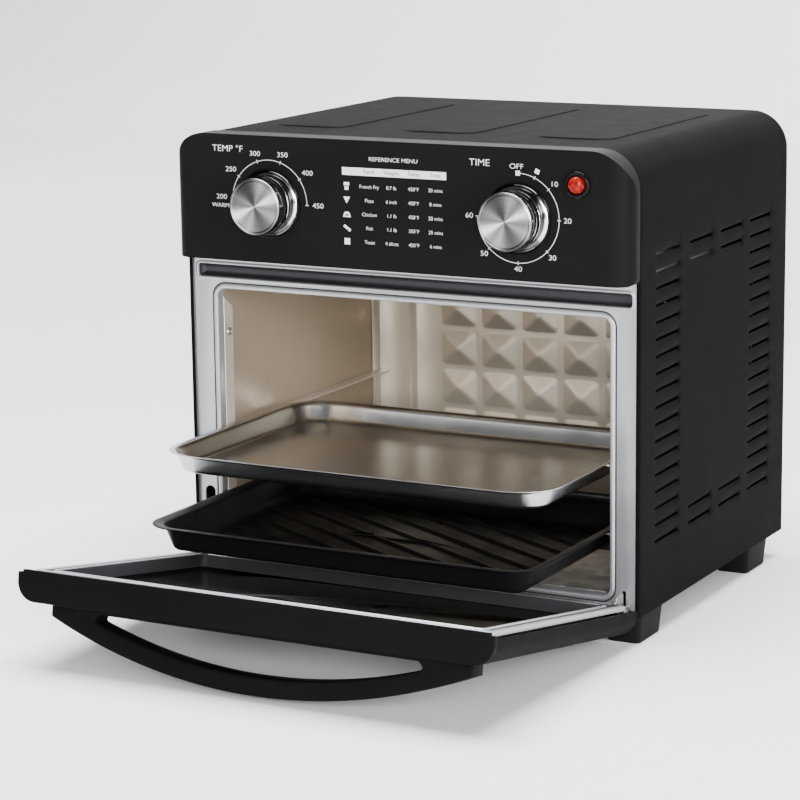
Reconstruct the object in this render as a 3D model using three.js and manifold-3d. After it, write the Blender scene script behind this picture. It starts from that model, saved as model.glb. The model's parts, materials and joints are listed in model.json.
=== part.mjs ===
// Countertop toaster oven with its door open and its two trays drawn out.
// Millimetres. X runs across the front, Y from front to back and Z up. Shapes are drawn with y = 0
// on the front frame and z = 0 on the worktop; the last lines centre the finished oven on Y.

import * as THREE from 'three';
import { mergeVertices } from 'three/addons/utils/BufferGeometryUtils.js';
import Module from 'manifold-3d';

const wasm = await Module();
wasm.setup();

// ---- driving dimensions -------------------------------------------------------------------------

const GAP = 0.3; // left between pieces that touch
const SHEET = 1.2; // pressed sheet steel
const ARC_STEPS = 4; // straight steps in a quarter round
const RING_STEPS = 20; // straight steps round a turned piece

const HALF_WIDTH = 180;
const DEPTH = 276;
const FOOT_HEIGHT = 20;
const SKIN_TOP = 345.2; // top sheet between its raised pads
const PAD_RISE = 0.8;
const SHOULDER_RADIUS = 28; // long rounded edges of the casing
const CASE_BOTTOM = FOOT_HEIGHT + 0.6;
const SKIN = 1.4;
const LIP_WIDTH = 3.2; // folded front edge of the casing
const LIP_FRONT = -2.4;
const FOOT = { x: 152, size: 25, length: 38, front: 5, rear: 210, taper: 1.5 };

const LOUVRE = { length: 42, height: 3, rows: 18, bottom: 68.8, top: 271.6 };
const LOUVRE_COLUMNS = [25.5, 86, 143.5, 201]; // where each column starts, from the front
const PAD = { width: 60, front: 46, back: 238, pitch: 106 };
const BASE = { height: 10, slots: 7, slotPitch: 40, slotLength: 28, slotWidth: 5, slotY: [100, 170] };
const REAR_VENT = { rows: 5, columns: 5, bottom: 270, rise: 12, pitch: 60, length: 44, height: 4 };
const CORD = { x: -140, z: 70, hole: 6.4, neck: 6, flange: 9.5, bore: 4 };

const PANEL_BOTTOM = 254.9;
const PANEL_TOP = 346;
const PANEL_FRONT = -22;
const PANEL_EDGE_RADIUS = 15;
const PANEL_WALL = 2.6;

const WINDOW = { half: 156.8, bottom: 33.6, top: 229.7, radius: 6.5 };
const CHANNEL = { half: 173, bottom: 238, top: 247.5, corner: 2.5 };
const FRAME_THICKNESS = 1.5;
const FRAME = { half: 178.2, top: 343.4, corner: 26 };
const LEVER_SLOT = [-172, 21.8, -163.5, 80]; // left lever's slot in the front frame: x0, z0, x1, z1
const ARM_SLOT = [166.2, 21.8, 169, 38.6];

const CAVITY = { half: 159, front: 8, back: 258, bottom: 27, top: 240 };
const PYRAMID = { width: 30, tall: 27, height: 4.5, columns: 6, rows: 5, pitch: 36, rise: 32, bottom: 66 };

const KNOB_X = 98;
const KNOB_Z = 298;
const KNOB_RADIUS = 20.6;
const KNOB_FRONT = -42;
const RING_RADIUS = 25;
const SHAFT_RADIUS = 3;
const SHAFT_HOLE = 5;
const SHAFT_END = 8;
const TIMER_BACK = 34;
const LAMP = { x: 142.5, z: 323, radius: 7, bezel: 9.6, hole: 6.6 };
const TEMPERATURE_POINTER = 41; // degrees anticlockwise from +X, seen from the front
const TIMER_POINTER = 22.4;

const HINGE_Y = -6.2;
const HINGE_Z = 26;
const DOOR_OPEN_ANGLE = 80;
const DOOR = { half: 179.5, bottom: 23.2, top: 251, inner: -1.2, outer: -22.8, shellEdge: -5.4 };
const DOOR_EDGE_RADIUS = 13.5; // long rounded edges of the door's outer side
const DOOR_CAP_HEIGHT = 5;
const DOOR_GLASS = { half: 165, bottom: 38, top: 236, front: -15.4, back: -11.5 };
const DOOR_RIM = { half: 174, bottom: 26.2, top: 242.6, openHalf: 162, openBottom: 42, openTop: 232 };
const DOOR_WINDOW = [-150, 50, 150, 222]; // opening in the outer shell: x0, z0, x1, z1
const SHELL_WALL = 2.4;
const NOTCH_RADIUS = 8.5; // cleared round each hinge pin
const PIN_RADIUS = 2.5;
const HANDLE = { half: 160, bottom: 221, top: 238, reach: 64.4, bar: 13, base: 4, radius: 402 };
const GRIP = { half: 125, baseHalf: 122 }; // the opening behind the handle's bow
const HINGE_X = 167.6;
const LEVER_LENGTH = 40;
const SPRING = { front: [4, 63], rear: [108, 34], radius: 3.4, wire: 0.8, turns: 9 }; // ends as y, z

const TRAY_HALF = 153;
const TRAY_LENGTH = 213;
const TRAY_RIM_Z = 127;
const TRAY_DEPTH = 15;
const TRAY_OUT = 100; // how far its front edge stands out of the oven
const PAN_HALF = 153;
const PAN_LENGTH = 217;
const PAN_RIM_Z = 78;
const PAN_DEPTH = 20;
const PAN_OUT = 119; // the shutting door sweeps it home from here
const RIM_THICKNESS = 1.4;
const LEDGE_WIDTH = 8.5;
const GUIDE = { front: 9, back: 248, bottom: 36, top: 222, strip: 12, screws: { lower: 93, upper: 195 } };
const CRUMB = { half: 150, flangeHalf: 157, flangeBottom: 22, flangeTop: 40, wall: 5 };

const HEATER_RADIUS = 3.2;
const HEATER_Y = [88, 188];
const LOWER_HEATER_Z = 44;
const UPPER_HEATER_Z = 224;
const FAN_Y = 133;
const FAN = { guard: 68, opening: 62, wheel: 54, hub: 14, blades: 8, z: 246, bladeHeight: 12 };
const HOUSING = { radius: 76, hole: 12, top: 264 };
const MOTOR = { radius: 30, top: 300, boreTop: 280 };

// ---- materials ----------------------------------------------------------------------------------

function material(colour, roughness, metalness) {
  return new THREE.MeshStandardMaterial({ color: colour, roughness, metalness, flatShading: true });
}

const blackPaint = material(0x242526, 0.45, 0.2);
const blackPlastic = material(0x1c1c1d, 0.35, 0);
const silverPaint = material(0xb4b6ba, 0.4, 0.7);
const stainless = material(0x9a9590, 0.3, 1);
const galvanised = material(0x8d9092, 0.5, 0.9);
const enamel = material(0x111213, 0.15, 0.1);
const polishedSteel = material(0xc9c9c9, 0.2, 1);
const aluminium = material(0xd3d4d6, 0.3, 1);
const chrome = material(0xe2e2e2, 0.08, 1);
const glass = material(0x2a2c2c, 0.05, 0);
const redLens = material(0xc01808, 0.2, 0);
const springSteel = material(0x55585a, 0.4, 1);

// ---- outlines -----------------------------------------------------------------------------------

// A rounded rectangle; radii are given for the corners low-left, low-right, high-right, high-left.
function roundedRect(x0, y0, x1, y1, ...radii) {
  const [a, b, c, d] = radii.length === 1 ? Array(4).fill(radii[0]) : radii;
  const shape = new THREE.Shape();
  shape.moveTo(x0 + a, y0);
  shape.lineTo(x1 - b, y0);
  if (b) shape.absarc(x1 - b, y0 + b, b, -Math.PI / 2, 0);
  shape.lineTo(x1, y1 - c);
  if (c) shape.absarc(x1 - c, y1 - c, c, 0, Math.PI / 2);
  shape.lineTo(x0 + d, y1);
  if (d) shape.absarc(x0 + d, y1 - d, d, Math.PI / 2, Math.PI);
  shape.lineTo(x0, y0 + a);
  if (a) shape.absarc(x0 + a, y0 + a, a, Math.PI, Math.PI * 1.5);
  return shape;
}

function polygon(points) {
  return new THREE.Shape(points.map(([x, y]) => new THREE.Vector2(x, y)));
}

// ---- solids -------------------------------------------------------------------------------------

function extrude(shape, depth, steps = ARC_STEPS) {
  return new THREE.ExtrudeGeometry(shape, { depth, bevelEnabled: false, curveSegments: steps });
}

// An outline drawn in X and Z, given thickness from y0 to y1.
function extrudeY(shape, y0, y1, steps) {
  return extrude(shape, y1 - y0, steps).rotateX(Math.PI / 2).translate(0, y1, 0);
}

// An outline drawn in X and Y, given thickness from z0 to z1.
function extrudeZ(shape, z0, z1, steps) {
  return extrude(shape, z1 - z0, steps).translate(0, 0, z0);
}

// An outline drawn in Y and Z, given thickness from x0 to x1.
function extrudeX(shape, x0, x1, steps) {
  const turn = new THREE.Matrix4().set(0, 0, 1, x0, 1, 0, 0, 0, 0, 1, 0, 0, 0, 0, 0, 1);
  return extrude(shape, x1 - x0, steps).applyMatrix4(turn);
}

function block(x0, x1, y0, y1, z0, z1) {
  const geometry = new THREE.BoxGeometry(x1 - x0, y1 - y0, z1 - z0);
  return geometry.translate((x0 + x1) / 2, (y0 + y1) / 2, (z0 + z1) / 2);
}

// A turned piece about Y: profile points are [radius, height], anticlockwise round the section.
function turned(profile, steps = RING_STEPS) {
  const closed = [...profile, profile[0]].map(([r, h]) => new THREE.Vector2(r, h));
  return new THREE.LatheGeometry(closed, steps);
}

function turnedY(profile, x, z, steps) {
  return turned(profile, steps).translate(x, 0, z);
}

function turnedZ(profile, x, y, steps) {
  return turned(profile, steps).rotateX(Math.PI / 2).translate(x, y, 0);
}

function rodX(radius, x0, x1, y, z, steps = 12) {
  const rod = new THREE.CylinderGeometry(radius, radius, x1 - x0, steps);
  return rod.rotateZ(Math.PI / 2).translate((x0 + x1) / 2, y, z);
}

function rodY(radius, x, y0, y1, z, steps = 16) {
  return new THREE.CylinderGeometry(radius, radius, y1 - y0, steps).translate(x, (y0 + y1) / 2, z);
}

function rodZ(radius, x, y, z0, z1, steps = 16) {
  const rod = new THREE.CylinderGeometry(radius, radius, z1 - z0, steps);
  return rod.rotateX(Math.PI / 2).translate(x, y, (z0 + z1) / 2);
}

// A closed solid through level outlines that all have the same number of points.
function loft(outlines, heights) {
  const rings = outlines.map((outline) => outline.extractPoints(ARC_STEPS).shape.slice(0, -1));
  const count = rings[0].length;
  const position = [];
  rings.forEach((ring, level) => ring.forEach((p) => position.push(p.x, p.y, heights[level])));
  const index = [];
  for (let level = 0; level + 1 < rings.length; level += 1) {
    for (let i = 0; i < count; i += 1) {
      const a = level * count + i;
      const b = level * count + ((i + 1) % count);
      index.push(a, b, b + count, a, b + count, a + count);
    }
  }
  const last = (rings.length - 1) * count;
  for (const [i, j, k] of THREE.ShapeUtils.triangulateShape(rings[0], [])) index.push(i, k, j);
  for (const [i, j, k] of THREE.ShapeUtils.triangulateShape(rings[0], [])) {
    index.push(last + i, last + j, last + k);
  }
  const geometry = new THREE.BufferGeometry();
  geometry.setAttribute('position', new THREE.Float32BufferAttribute(position, 3));
  geometry.setIndex(index);
  return geometry;
}

// Merges a geometry's shared vertices and drops the triangles that this flattens.
function welded(geometry) {
  const bare = new THREE.BufferGeometry();
  bare.setAttribute('position', geometry.getAttribute('position'));
  if (geometry.index) bare.setIndex(geometry.index);
  const merged = mergeVertices(bare, 1e-3);
  const corners = merged.index.array;
  const kept = [];
  for (let i = 0; i < corners.length; i += 3) {
    const [a, b, c] = corners.slice(i, i + 3);
    if (a !== b && b !== c && c !== a) kept.push(a, b, c);
  }
  merged.setIndex(kept);
  return merged;
}

function solid(geometry) {
  const merged = welded(geometry);
  return new wasm.Manifold(new wasm.Mesh({
    numProp: 3,
    vertProperties: Float32Array.from(merged.getAttribute('position').array),
    triVerts: Uint32Array.from(merged.index.array),
  }));
}

function geometryOf(manifold) {
  const { vertProperties, triVerts } = manifold.getMesh();
  const geometry = new THREE.BufferGeometry();
  geometry.setAttribute('position', new THREE.BufferAttribute(vertProperties, 3));
  geometry.setIndex(new THREE.BufferAttribute(triVerts, 1));
  return geometry;
}

function join(...geometries) {
  return geometryOf(geometries.map(solid).reduce((whole, piece) => whole.add(piece)));
}

function cut(geometry, ...tools) {
  return geometryOf(tools.map(solid).reduce((whole, tool) => whole.subtract(tool), solid(geometry)));
}

function common(first, second) {
  return geometryOf(solid(first).intersect(solid(second)));
}

// ---- the assembly -------------------------------------------------------------------------------

const oven = new THREE.Group();
const door = new THREE.Group();
oven.add(door);

function add(name, geometry, finish, parent = oven) {
  const mesh = new THREE.Mesh(geometryOf(solid(geometry)), finish);
  mesh.name = name;
  parent.add(mesh);
  return mesh;
}

const SIDES = [['left', -1], ['right', 1]];

// ---- casing -------------------------------------------------------------------------------------

function caseOutline(inset, bottom) {
  const half = HALF_WIDTH - inset;
  const r = SHOULDER_RADIUS - inset;
  return roundedRect(-half, bottom, half, SKIN_TOP - inset, 0, 0, r, r);
}

function louvres() {
  const pitch = (LOUVRE.top - LOUVRE.bottom) / (LOUVRE.rows - 1);
  const slots = [];
  LOUVRE_COLUMNS.forEach((y, column) => {
    const tall = column === 0 || column === LOUVRE_COLUMNS.length - 1;
    for (let row = 0; row < LOUVRE.rows; row += 1) {
      if (!tall && row > 1 && row < LOUVRE.rows - 2) continue;
      const z = LOUVRE.bottom + row * pitch;
      slots.push(block(-2 * HALF_WIDTH, 2 * HALF_WIDTH, y, y + LOUVRE.length,
        z - LOUVRE.height / 2, z + LOUVRE.height / 2));
    }
  });
  return slots;
}

function outerWrap() {
  const hollow = extrudeY(caseOutline(SKIN, -10), LIP_FRONT + 2, DEPTH + 10);
  const mouth = extrudeY(caseOutline(LIP_WIDTH, -10), LIP_FRONT - 10, 10);
  const pads = [-1, 0, 1].map((n) => {
    const x = n * PAD.pitch;
    const outline = roundedRect(x - PAD.width / 2, PAD.front, x + PAD.width / 2, PAD.back, 8);
    return extrudeZ(outline, SKIN_TOP - 0.5, SKIN_TOP + PAD_RISE);
  });
  const skin = cut(extrudeY(caseOutline(0, CASE_BOTTOM), LIP_FRONT, DEPTH), hollow, mouth);
  return cut(join(skin, ...pads), ...louvres());
}

function basePan() {
  const wide = HALF_WIDTH - SKIN - 0.7;
  const tray = block(-wide, wide, 2.5, DEPTH - 2.2, CASE_BOTTOM, CASE_BOTTOM + BASE.height);
  const top = CASE_BOTTOM + 2 * BASE.height;
  const inside = block(-wide + SKIN, wide - SKIN, 0, DEPTH, CASE_BOTTOM + SKIN, top);
  const slots = [];
  for (const y of BASE.slotY) {
    for (let n = 0; n < BASE.slots; n += 1) {
      const x = (n - (BASE.slots - 1) / 2) * BASE.slotPitch;
      const half = BASE.slotLength / 2;
      slots.push(block(x - half, x + half, y, y + BASE.slotWidth, 0, 2 * CASE_BOTTOM));
    }
  }
  return cut(tray, inside, ...slots);
}

function backPanel() {
  const plate = extrudeY(caseOutline(SKIN + 0.5, CASE_BOTTOM + 0.2), DEPTH - 1.6, DEPTH - 0.2);
  const mouth = CRUMB.half + 4;
  const front = DEPTH - 10;
  const rear = DEPTH + 10;
  const holes = [
    block(-mouth, mouth, front, rear, CRUMB.flangeBottom + 3, CRUMB.flangeTop - 3),
    rodY(CORD.hole, CORD.x, front, rear, CORD.z),
  ];
  for (let row = 0; row < REAR_VENT.rows; row += 1) {
    for (let column = 0; column < REAR_VENT.columns; column += 1) {
      const x = (column - (REAR_VENT.columns - 1) / 2) * REAR_VENT.pitch;
      const z = REAR_VENT.bottom + row * REAR_VENT.rise;
      const half = REAR_VENT.length / 2;
      holes.push(block(x - half, x + half, front, rear, z, z + REAR_VENT.height));
    }
  }
  return cut(plate, ...holes);
}

function ring(outer, inner, y0, y1) {
  return cut(extrudeY(outer, y0, y1), extrudeY(inner, y0 - 5, y1 + 5));
}

function windowOutline(grow) {
  const { half, bottom, top, radius } = WINDOW;
  return roundedRect(-half - grow, bottom - grow, half + grow, top + grow, radius + grow);
}

function frontFrame() {
  const { half, top, corner } = FRAME;
  const outline = roundedRect(-half, CASE_BOTTOM + 0.4, half, top, 2, 2, corner, corner);
  const plate = extrudeY(outline, 0, FRAME_THICKNESS);
  const bead = extrudeY(windowOutline(4.2), -0.9, 0.5);
  const sleeve = extrudeY(windowOutline(SHEET), 0.5, 7);
  const channel = roundedRect(-CHANNEL.half, CHANNEL.bottom, CHANNEL.half, CHANNEL.top, CHANNEL.corner);
  return cut(
    join(plate, bead, sleeve),
    extrudeY(windowOutline(0), -10, 10),
    extrudeY(channel, -10, 10),
    extrudeY(roundedRect(...LEVER_SLOT, 0.5, 0.5, 4, 4), -10, 10),
    extrudeY(roundedRect(...ARM_SLOT, 0.5, 0.5, 1, 1), -10, 10),
    rodY(SHAFT_HOLE, -KNOB_X, -10, 10, KNOB_Z),
    rodY(SHAFT_HOLE, KNOB_X, -10, 10, KNOB_Z),
    rodY(LAMP.hole, LAMP.x, -10, 10, LAMP.z),
  );
}

function ventChannel() {
  const { half, bottom, top } = CHANNEL;
  const back = 7.6;
  const body = block(-half - 2, half + 2, FRAME_THICKNESS + GAP, back, bottom - 0.8, top + 1);
  return cut(body, block(-half - 1, half + 1, 0, back - SHEET, bottom + 0.4, top));
}

function controlPanel() {
  const corner = SHOULDER_RADIUS;
  function shell(inset, back) {
    const half = HALF_WIDTH - 0.2 - inset;
    const front = PANEL_FRONT + inset;
    const face = roundedRect(-half, PANEL_BOTTOM + inset, half, PANEL_TOP - inset,
      4 - inset / 2, 4 - inset / 2, corner - inset, corner - inset);
    const edge = PANEL_EDGE_RADIUS - inset;
    const plan = roundedRect(-half, front, half, back, edge, edge, 0, 0);
    return common(extrudeY(face, front, back), extrudeZ(plan, 200, 400));
  }
  const back = LIP_FRONT - 0.4;
  return cut(
    shell(0, back),
    shell(PANEL_WALL, back + 5),
    rodY(SHAFT_HOLE, -KNOB_X, -40, 0, KNOB_Z),
    rodY(SHAFT_HOLE, KNOB_X, -40, 0, KNOB_Z),
    rodY(LAMP.hole, LAMP.x, -40, 0, LAMP.z),
  );
}

add('outer_wrap', outerWrap(), blackPaint);
add('base_pan', basePan(), galvanised);
add('back_panel', backPanel(), blackPaint);
add('front_frame', frontFrame(), silverPaint);
add('vent_channel', ventChannel(), galvanised);
add('control_panel', controlPanel(), blackPlastic);

function foot(side, y0) {
  const { size, length, taper } = FOOT;
  const x0 = side > 0 ? FOOT.x : -FOOT.x - size;
  const top = roundedRect(x0 - taper, y0 - taper, x0 + size + taper, y0 + length + taper, 3);
  const bottom = roundedRect(x0, y0, x0 + size, y0 + length, 3);
  return loft([bottom, top], [0, FOOT_HEIGHT + GAP]);
}

for (const [name, side] of SIDES) {
  add(`foot_front_${name}`, foot(side, FOOT.front), blackPlastic);
  add(`foot_rear_${name}`, foot(side, FOOT.rear), blackPlastic);
}

function cordGland() {
  const { bore, neck, flange } = CORD;
  const inside = DEPTH - 8;
  const outside = DEPTH + 3;
  return turnedY([
    [bore, inside], [neck, inside], [neck, DEPTH], [flange, DEPTH], [flange - 1, outside], [bore, outside],
  ], CORD.x, CORD.z);
}

add('cord_gland', cordGland(), blackPlastic);

// ---- oven cavity --------------------------------------------------------------------------------

function cavityWall(side) {
  const x0 = side > 0 ? CAVITY.half : -CAVITY.half - SHEET;
  const wall = block(x0, x0 + SHEET, CAVITY.front, CAVITY.back, CAVITY.bottom, CAVITY.top + SHEET);
  const holes = [];
  for (const y of HEATER_Y) {
    for (const z of [LOWER_HEATER_Z, UPPER_HEATER_Z]) {
      holes.push(rodX(HEATER_RADIUS + 0.8, x0 - 5, x0 + 5, y, z));
    }
  }
  return cut(wall, ...holes);
}

function cavityBack() {
  const y = CAVITY.back + GAP;
  const bottom = 38; // stands clear above the crumb tray
  const wide = CAVITY.half + SHEET;
  const plate = block(-wide, wide, y, y + SHEET, bottom, CAVITY.top + SHEET);
  const sunk = 0.5;
  const pyramids = [];
  for (let column = 0; column < PYRAMID.columns; column += 1) {
    for (let row = 0; row < PYRAMID.rows; row += 1) {
      const x = (column - (PYRAMID.columns - 1) / 2) * PYRAMID.pitch;
      const z = PYRAMID.bottom + PYRAMID.rise * (row + 0.5);
      const pyramid = new THREE.ConeGeometry(Math.SQRT1_2, PYRAMID.height + sunk, 4);
      pyramid.rotateY(Math.PI / 4).rotateX(Math.PI).scale(PYRAMID.width, 1, PYRAMID.tall);
      pyramids.push(pyramid.translate(x, y + sunk - (PYRAMID.height + sunk) / 2, z));
    }
  }
  return join(plate, ...pyramids);
}

function cavityCeiling() {
  const half = CAVITY.half - GAP;
  const plate = block(-half, half, CAVITY.front, CAVITY.back, CAVITY.top, CAVITY.top + SHEET);
  return cut(plate, rodZ(FAN.opening, 0, FAN_Y, 200, 300, RING_STEPS));
}

add('cavity_left_wall', cavityWall(-1), stainless);
add('cavity_right_wall', cavityWall(1), stainless);
add('cavity_back', cavityBack(), stainless);
add('cavity_ceiling', cavityCeiling(), stainless);
add('cavity_floor', block(-CAVITY.half + GAP, CAVITY.half - GAP, CAVITY.front, CAVITY.back,
  CAVITY.bottom, CAVITY.bottom + SHEET), stainless);

function rackGuide(side) {
  const wall = side * (CAVITY.half - GAP);
  const face = side * (CAVITY.half - GAP - SHEET);
  const tip = side * (CAVITY.half - GAP - SHEET - LEDGE_WIDTH);
  const { front, back, bottom, top, strip } = GUIDE;
  const outline = polygon([
    [front, bottom], [front + strip, bottom], [front + strip, top - 9], [front, top],
  ]);
  const rear = block(Math.min(wall, face), Math.max(wall, face), back - strip, back, bottom, top - 9);
  const pieces = [extrudeX(outline, Math.min(wall, face), Math.max(wall, face)), rear];
  for (const rim of [PAN_RIM_Z, TRAY_RIM_Z]) {
    const z = rim - RIM_THICKNESS - GAP;
    pieces.push(block(Math.min(wall, tip), Math.max(wall, tip), front, back, z - SHEET, z));
  }
  return join(...pieces);
}

function screw(side, z) {
  const head = [[0, 0], [3.2, 0], [3, 0.9], [1.6, 1.5], [0, 1.6]];
  const x = side * (CAVITY.half - SHEET - 2 * GAP);
  return turned(head, 12).rotateZ(side * Math.PI / 2).translate(x, GUIDE.front + 6, z);
}

for (const [name, side] of SIDES) {
  add(`rack_guide_${name}`, rackGuide(side), stainless);
  add(`guide_screw_upper_${name}`, screw(side, GUIDE.screws.upper), galvanised);
  add(`guide_screw_lower_${name}`, screw(side, GUIDE.screws.lower), galvanised);
}

HEATER_Y.forEach((y, n) => {
  const place = n === 0 ? 'front' : 'rear';
  const reach = CAVITY.half + 3.5;
  add(`heater_lower_${place}`, rodX(HEATER_RADIUS, -reach, reach, y, LOWER_HEATER_Z), springSteel);
  add(`heater_upper_${place}`, rodX(HEATER_RADIUS, -reach, reach, y, UPPER_HEATER_Z), springSteel);
});

// ---- convection fan above the cavity ------------------------------------------------------------

function fanGuard() {
  const z = CAVITY.top - GAP - SHEET;
  const slots = [];
  for (let n = 0; n < 2 * FAN.blades; n += 1) {
    const slot = block(20, FAN.wheel, -2.6, 2.6, z - 5, z + 5);
    slots.push(slot.rotateZ((n * Math.PI) / FAN.blades).translate(0, FAN_Y, 0));
  }
  return cut(rodZ(FAN.guard, 0, FAN_Y, z, z + SHEET, RING_STEPS), ...slots);
}

function fanWheel() {
  const { z, wheel, hub, bladeHeight } = FAN;
  const blades = [];
  for (let n = 0; n < FAN.blades; n += 1) {
    const blade = block(hub, wheel, -0.7, 0.7, z + 0.5, z + bladeHeight);
    blades.push(blade.rotateZ((2 * n * Math.PI) / FAN.blades).translate(0, FAN_Y, 0));
  }
  const disc = rodZ(wheel, 0, FAN_Y, z, z + 1.4, RING_STEPS);
  return cut(join(disc, ...blades), rodZ(SHAFT_RADIUS + GAP, 0, FAN_Y, z - 5, z + 20));
}

function fanHousing() {
  const { radius, hole, top } = HOUSING;
  const base = CAVITY.top + SHEET + GAP;
  return turnedZ([
    [hole, top - SHEET], [radius - SHEET, top - SHEET], [radius - SHEET, base], [radius, base],
    [radius, top], [hole, top],
  ], 0, FAN_Y);
}

function fanMotor() {
  const { radius, top, boreTop } = MOTOR;
  const base = HOUSING.top + GAP;
  const bore = SHAFT_RADIUS + GAP;
  return turnedZ([
    [bore, base], [radius, base], [radius, top], [0, top], [0, boreTop], [bore, boreTop],
  ], 0, FAN_Y);
}

add('fan_guard', fanGuard(), stainless);
add('fan_housing', fanHousing(), galvanised);
add('fan_wheel', fanWheel(), aluminium);
add('fan_shaft', rodZ(SHAFT_RADIUS, 0, FAN_Y, FAN.z - 2, MOTOR.boreTop - 2), springSteel);
add('fan_motor', fanMotor(), galvanised);

// ---- controls -----------------------------------------------------------------------------------

// A dial's base ring, knob, spun face and shaft; the groove in the face is its pointer.
function dial(name, x, pointer) {
  const ringProfile = [
    [15, PANEL_FRONT - GAP], [15, PANEL_FRONT - 3], [RING_RADIUS - 1, PANEL_FRONT - 3],
    [RING_RADIUS, PANEL_FRONT - 2], [RING_RADIUS, PANEL_FRONT - GAP],
  ];
  const bore = SHAFT_RADIUS + GAP;
  const knobBack = PANEL_FRONT - 3.6;
  const knobProfile = [
    [bore, knobBack], [bore, KNOB_FRONT + 4], [0, KNOB_FRONT + 4], [0, KNOB_FRONT],
    [KNOB_RADIUS - 1.5, KNOB_FRONT], [KNOB_RADIUS - 1.5, KNOB_FRONT - 1],
    [KNOB_RADIUS - 0.6, KNOB_FRONT - 1], [KNOB_RADIUS - 0.3, KNOB_FRONT], [KNOB_RADIUS, knobBack],
  ];
  const angle = THREE.MathUtils.degToRad(pointer);
  const groove = block(8, 17, KNOB_FRONT - 3, KNOB_FRONT - 0.9, -0.8, 0.8);
  groove.rotateY(-angle).translate(x, 0, KNOB_Z);
  const face = rodY(KNOB_RADIUS - 1.9, x, KNOB_FRONT - 1.6, KNOB_FRONT - GAP, KNOB_Z, RING_STEPS);
  add(`${name}_dial_ring`, turnedY(ringProfile, x, KNOB_Z), chrome);
  add(`${name}_knob`, turnedY(knobProfile, x, KNOB_Z), blackPlastic);
  add(`${name}_knob_face`, cut(face, groove), aluminium);
  add(`${name}_shaft`, rodY(SHAFT_RADIUS, x, KNOB_FRONT + 4.4, SHAFT_END, KNOB_Z), springSteel);
}

// A switch body behind the front frame, with a blind bore for its shaft.
function switchBody(x, half, y1) {
  const y0 = FRAME_THICKNESS + GAP;
  const body = extrudeY(roundedRect(x - half, KNOB_Z - half, x + half, KNOB_Z + half, 3), y0, y1);
  return cut(body, rodY(SHAFT_RADIUS + GAP, x, y0 - 5, SHAFT_END + 0.4, KNOB_Z));
}

dial('temperature', -KNOB_X, TEMPERATURE_POINTER);
dial('timer', KNOB_X, TIMER_POINTER);
add('thermostat', switchBody(-KNOB_X, 14, 24), galvanised);
add('timer_unit', switchBody(KNOB_X, 25, TIMER_BACK), galvanised);
add('timer_bell', turnedY([
  [0, TIMER_BACK + GAP], [3, TIMER_BACK + GAP], [3, TIMER_BACK + 8], [16, TIMER_BACK + 8],
  [18, TIMER_BACK + 2], [19, TIMER_BACK + 2], [17, TIMER_BACK + 9.4], [0, TIMER_BACK + 9.4],
], KNOB_X, KNOB_Z), chrome);
add('lamp_bezel', turnedY([
  [LAMP.radius + GAP, PANEL_FRONT - GAP], [LAMP.radius + GAP, PANEL_FRONT - 3],
  [LAMP.bezel - 0.8, PANEL_FRONT - 3], [LAMP.bezel, PANEL_FRONT - 1.5], [LAMP.bezel, PANEL_FRONT - GAP],
], LAMP.x, LAMP.z), blackPlastic);
add('lamp_lens', turnedY([
  [0, FRAME_THICKNESS + 8], [0, PANEL_FRONT - 6], [3.6, PANEL_FRONT - 5.4],
  [LAMP.radius - 0.9, PANEL_FRONT - 3.4],
  [LAMP.radius - 0.9, FRAME_THICKNESS + 8],
], LAMP.x, LAMP.z, 16), redLens);

// ---- door, drawn shut and then turned open about its hinge --------------------------------------

const DOOR_TOP_EDGE = DOOR.top - DOOR_CAP_HEIGHT - 0.4;

function hingeNotches() {
  return [-1, 1].map((side) => {
    const [x0, x1] = side > 0 ? [162.5, 174.6] : [-174.6, -162.5];
    return rodX(NOTCH_RADIUS, x0, x1, HINGE_Y, HINGE_Z, 16);
  });
}

function doorOuterFrame() {
  function plan(inset, back) {
    const half = DOOR.half - inset;
    const edge = DOOR_EDGE_RADIUS - inset;
    return roundedRect(-half, DOOR.outer + inset, half, back, edge, edge, 0, 0);
  }
  return cut(
    extrudeZ(plan(0, DOOR.shellEdge), DOOR.bottom, DOOR_TOP_EDGE),
    extrudeZ(plan(SHELL_WALL, 5), DOOR.bottom + SHELL_WALL, DOOR_TOP_EDGE - SHELL_WALL),
    extrudeY(roundedRect(...DOOR_WINDOW, 8), 2 * DOOR.outer, 5),
    ...hingeNotches(),
  );
}

function doorInnerFrame() {
  const { half, bottom, top, openHalf, openBottom, openTop } = DOOR_RIM;
  const depth = DOOR_GLASS.back + GAP;
  function band(grow, back, front) {
    return ring(
      roundedRect(-half + grow, bottom + grow, half - grow, top - grow, 5),
      roundedRect(-openHalf - grow, openBottom - grow, openHalf + grow, openTop + grow, 5),
      back,
      front,
    );
  }
  return cut(band(0, depth, DOOR.inner), band(SHEET, depth - 5, DOOR.inner - SHEET), ...hingeNotches());
}

function doorHandle() {
  const centre = DOOR.inner - HANDLE.reach + HANDLE.radius;
  const base = DOOR.outer - GAP;
  function arcPoints(radius, half, steps) {
    const span = Math.asin(half / radius);
    return Array.from({ length: steps + 1 }, (_, n) => {
      const a = -span + (2 * span * n) / steps;
      return [radius * Math.sin(a), centre - radius * Math.cos(a)];
    });
  }
  const bow = polygon([
    ...arcPoints(HANDLE.radius, HANDLE.half, 20), [HANDLE.half, base], [-HANDLE.half, base],
  ]);
  const hole = polygon([
    ...arcPoints(HANDLE.radius - HANDLE.bar, GRIP.half, 16),
    [GRIP.baseHalf, base - HANDLE.base], [-GRIP.baseHalf, base - HANDLE.base],
  ]);
  return cut(extrudeZ(bow, HANDLE.bottom, HANDLE.top), extrudeZ(hole, HANDLE.bottom - 5, HANDLE.top + 5));
}

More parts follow.
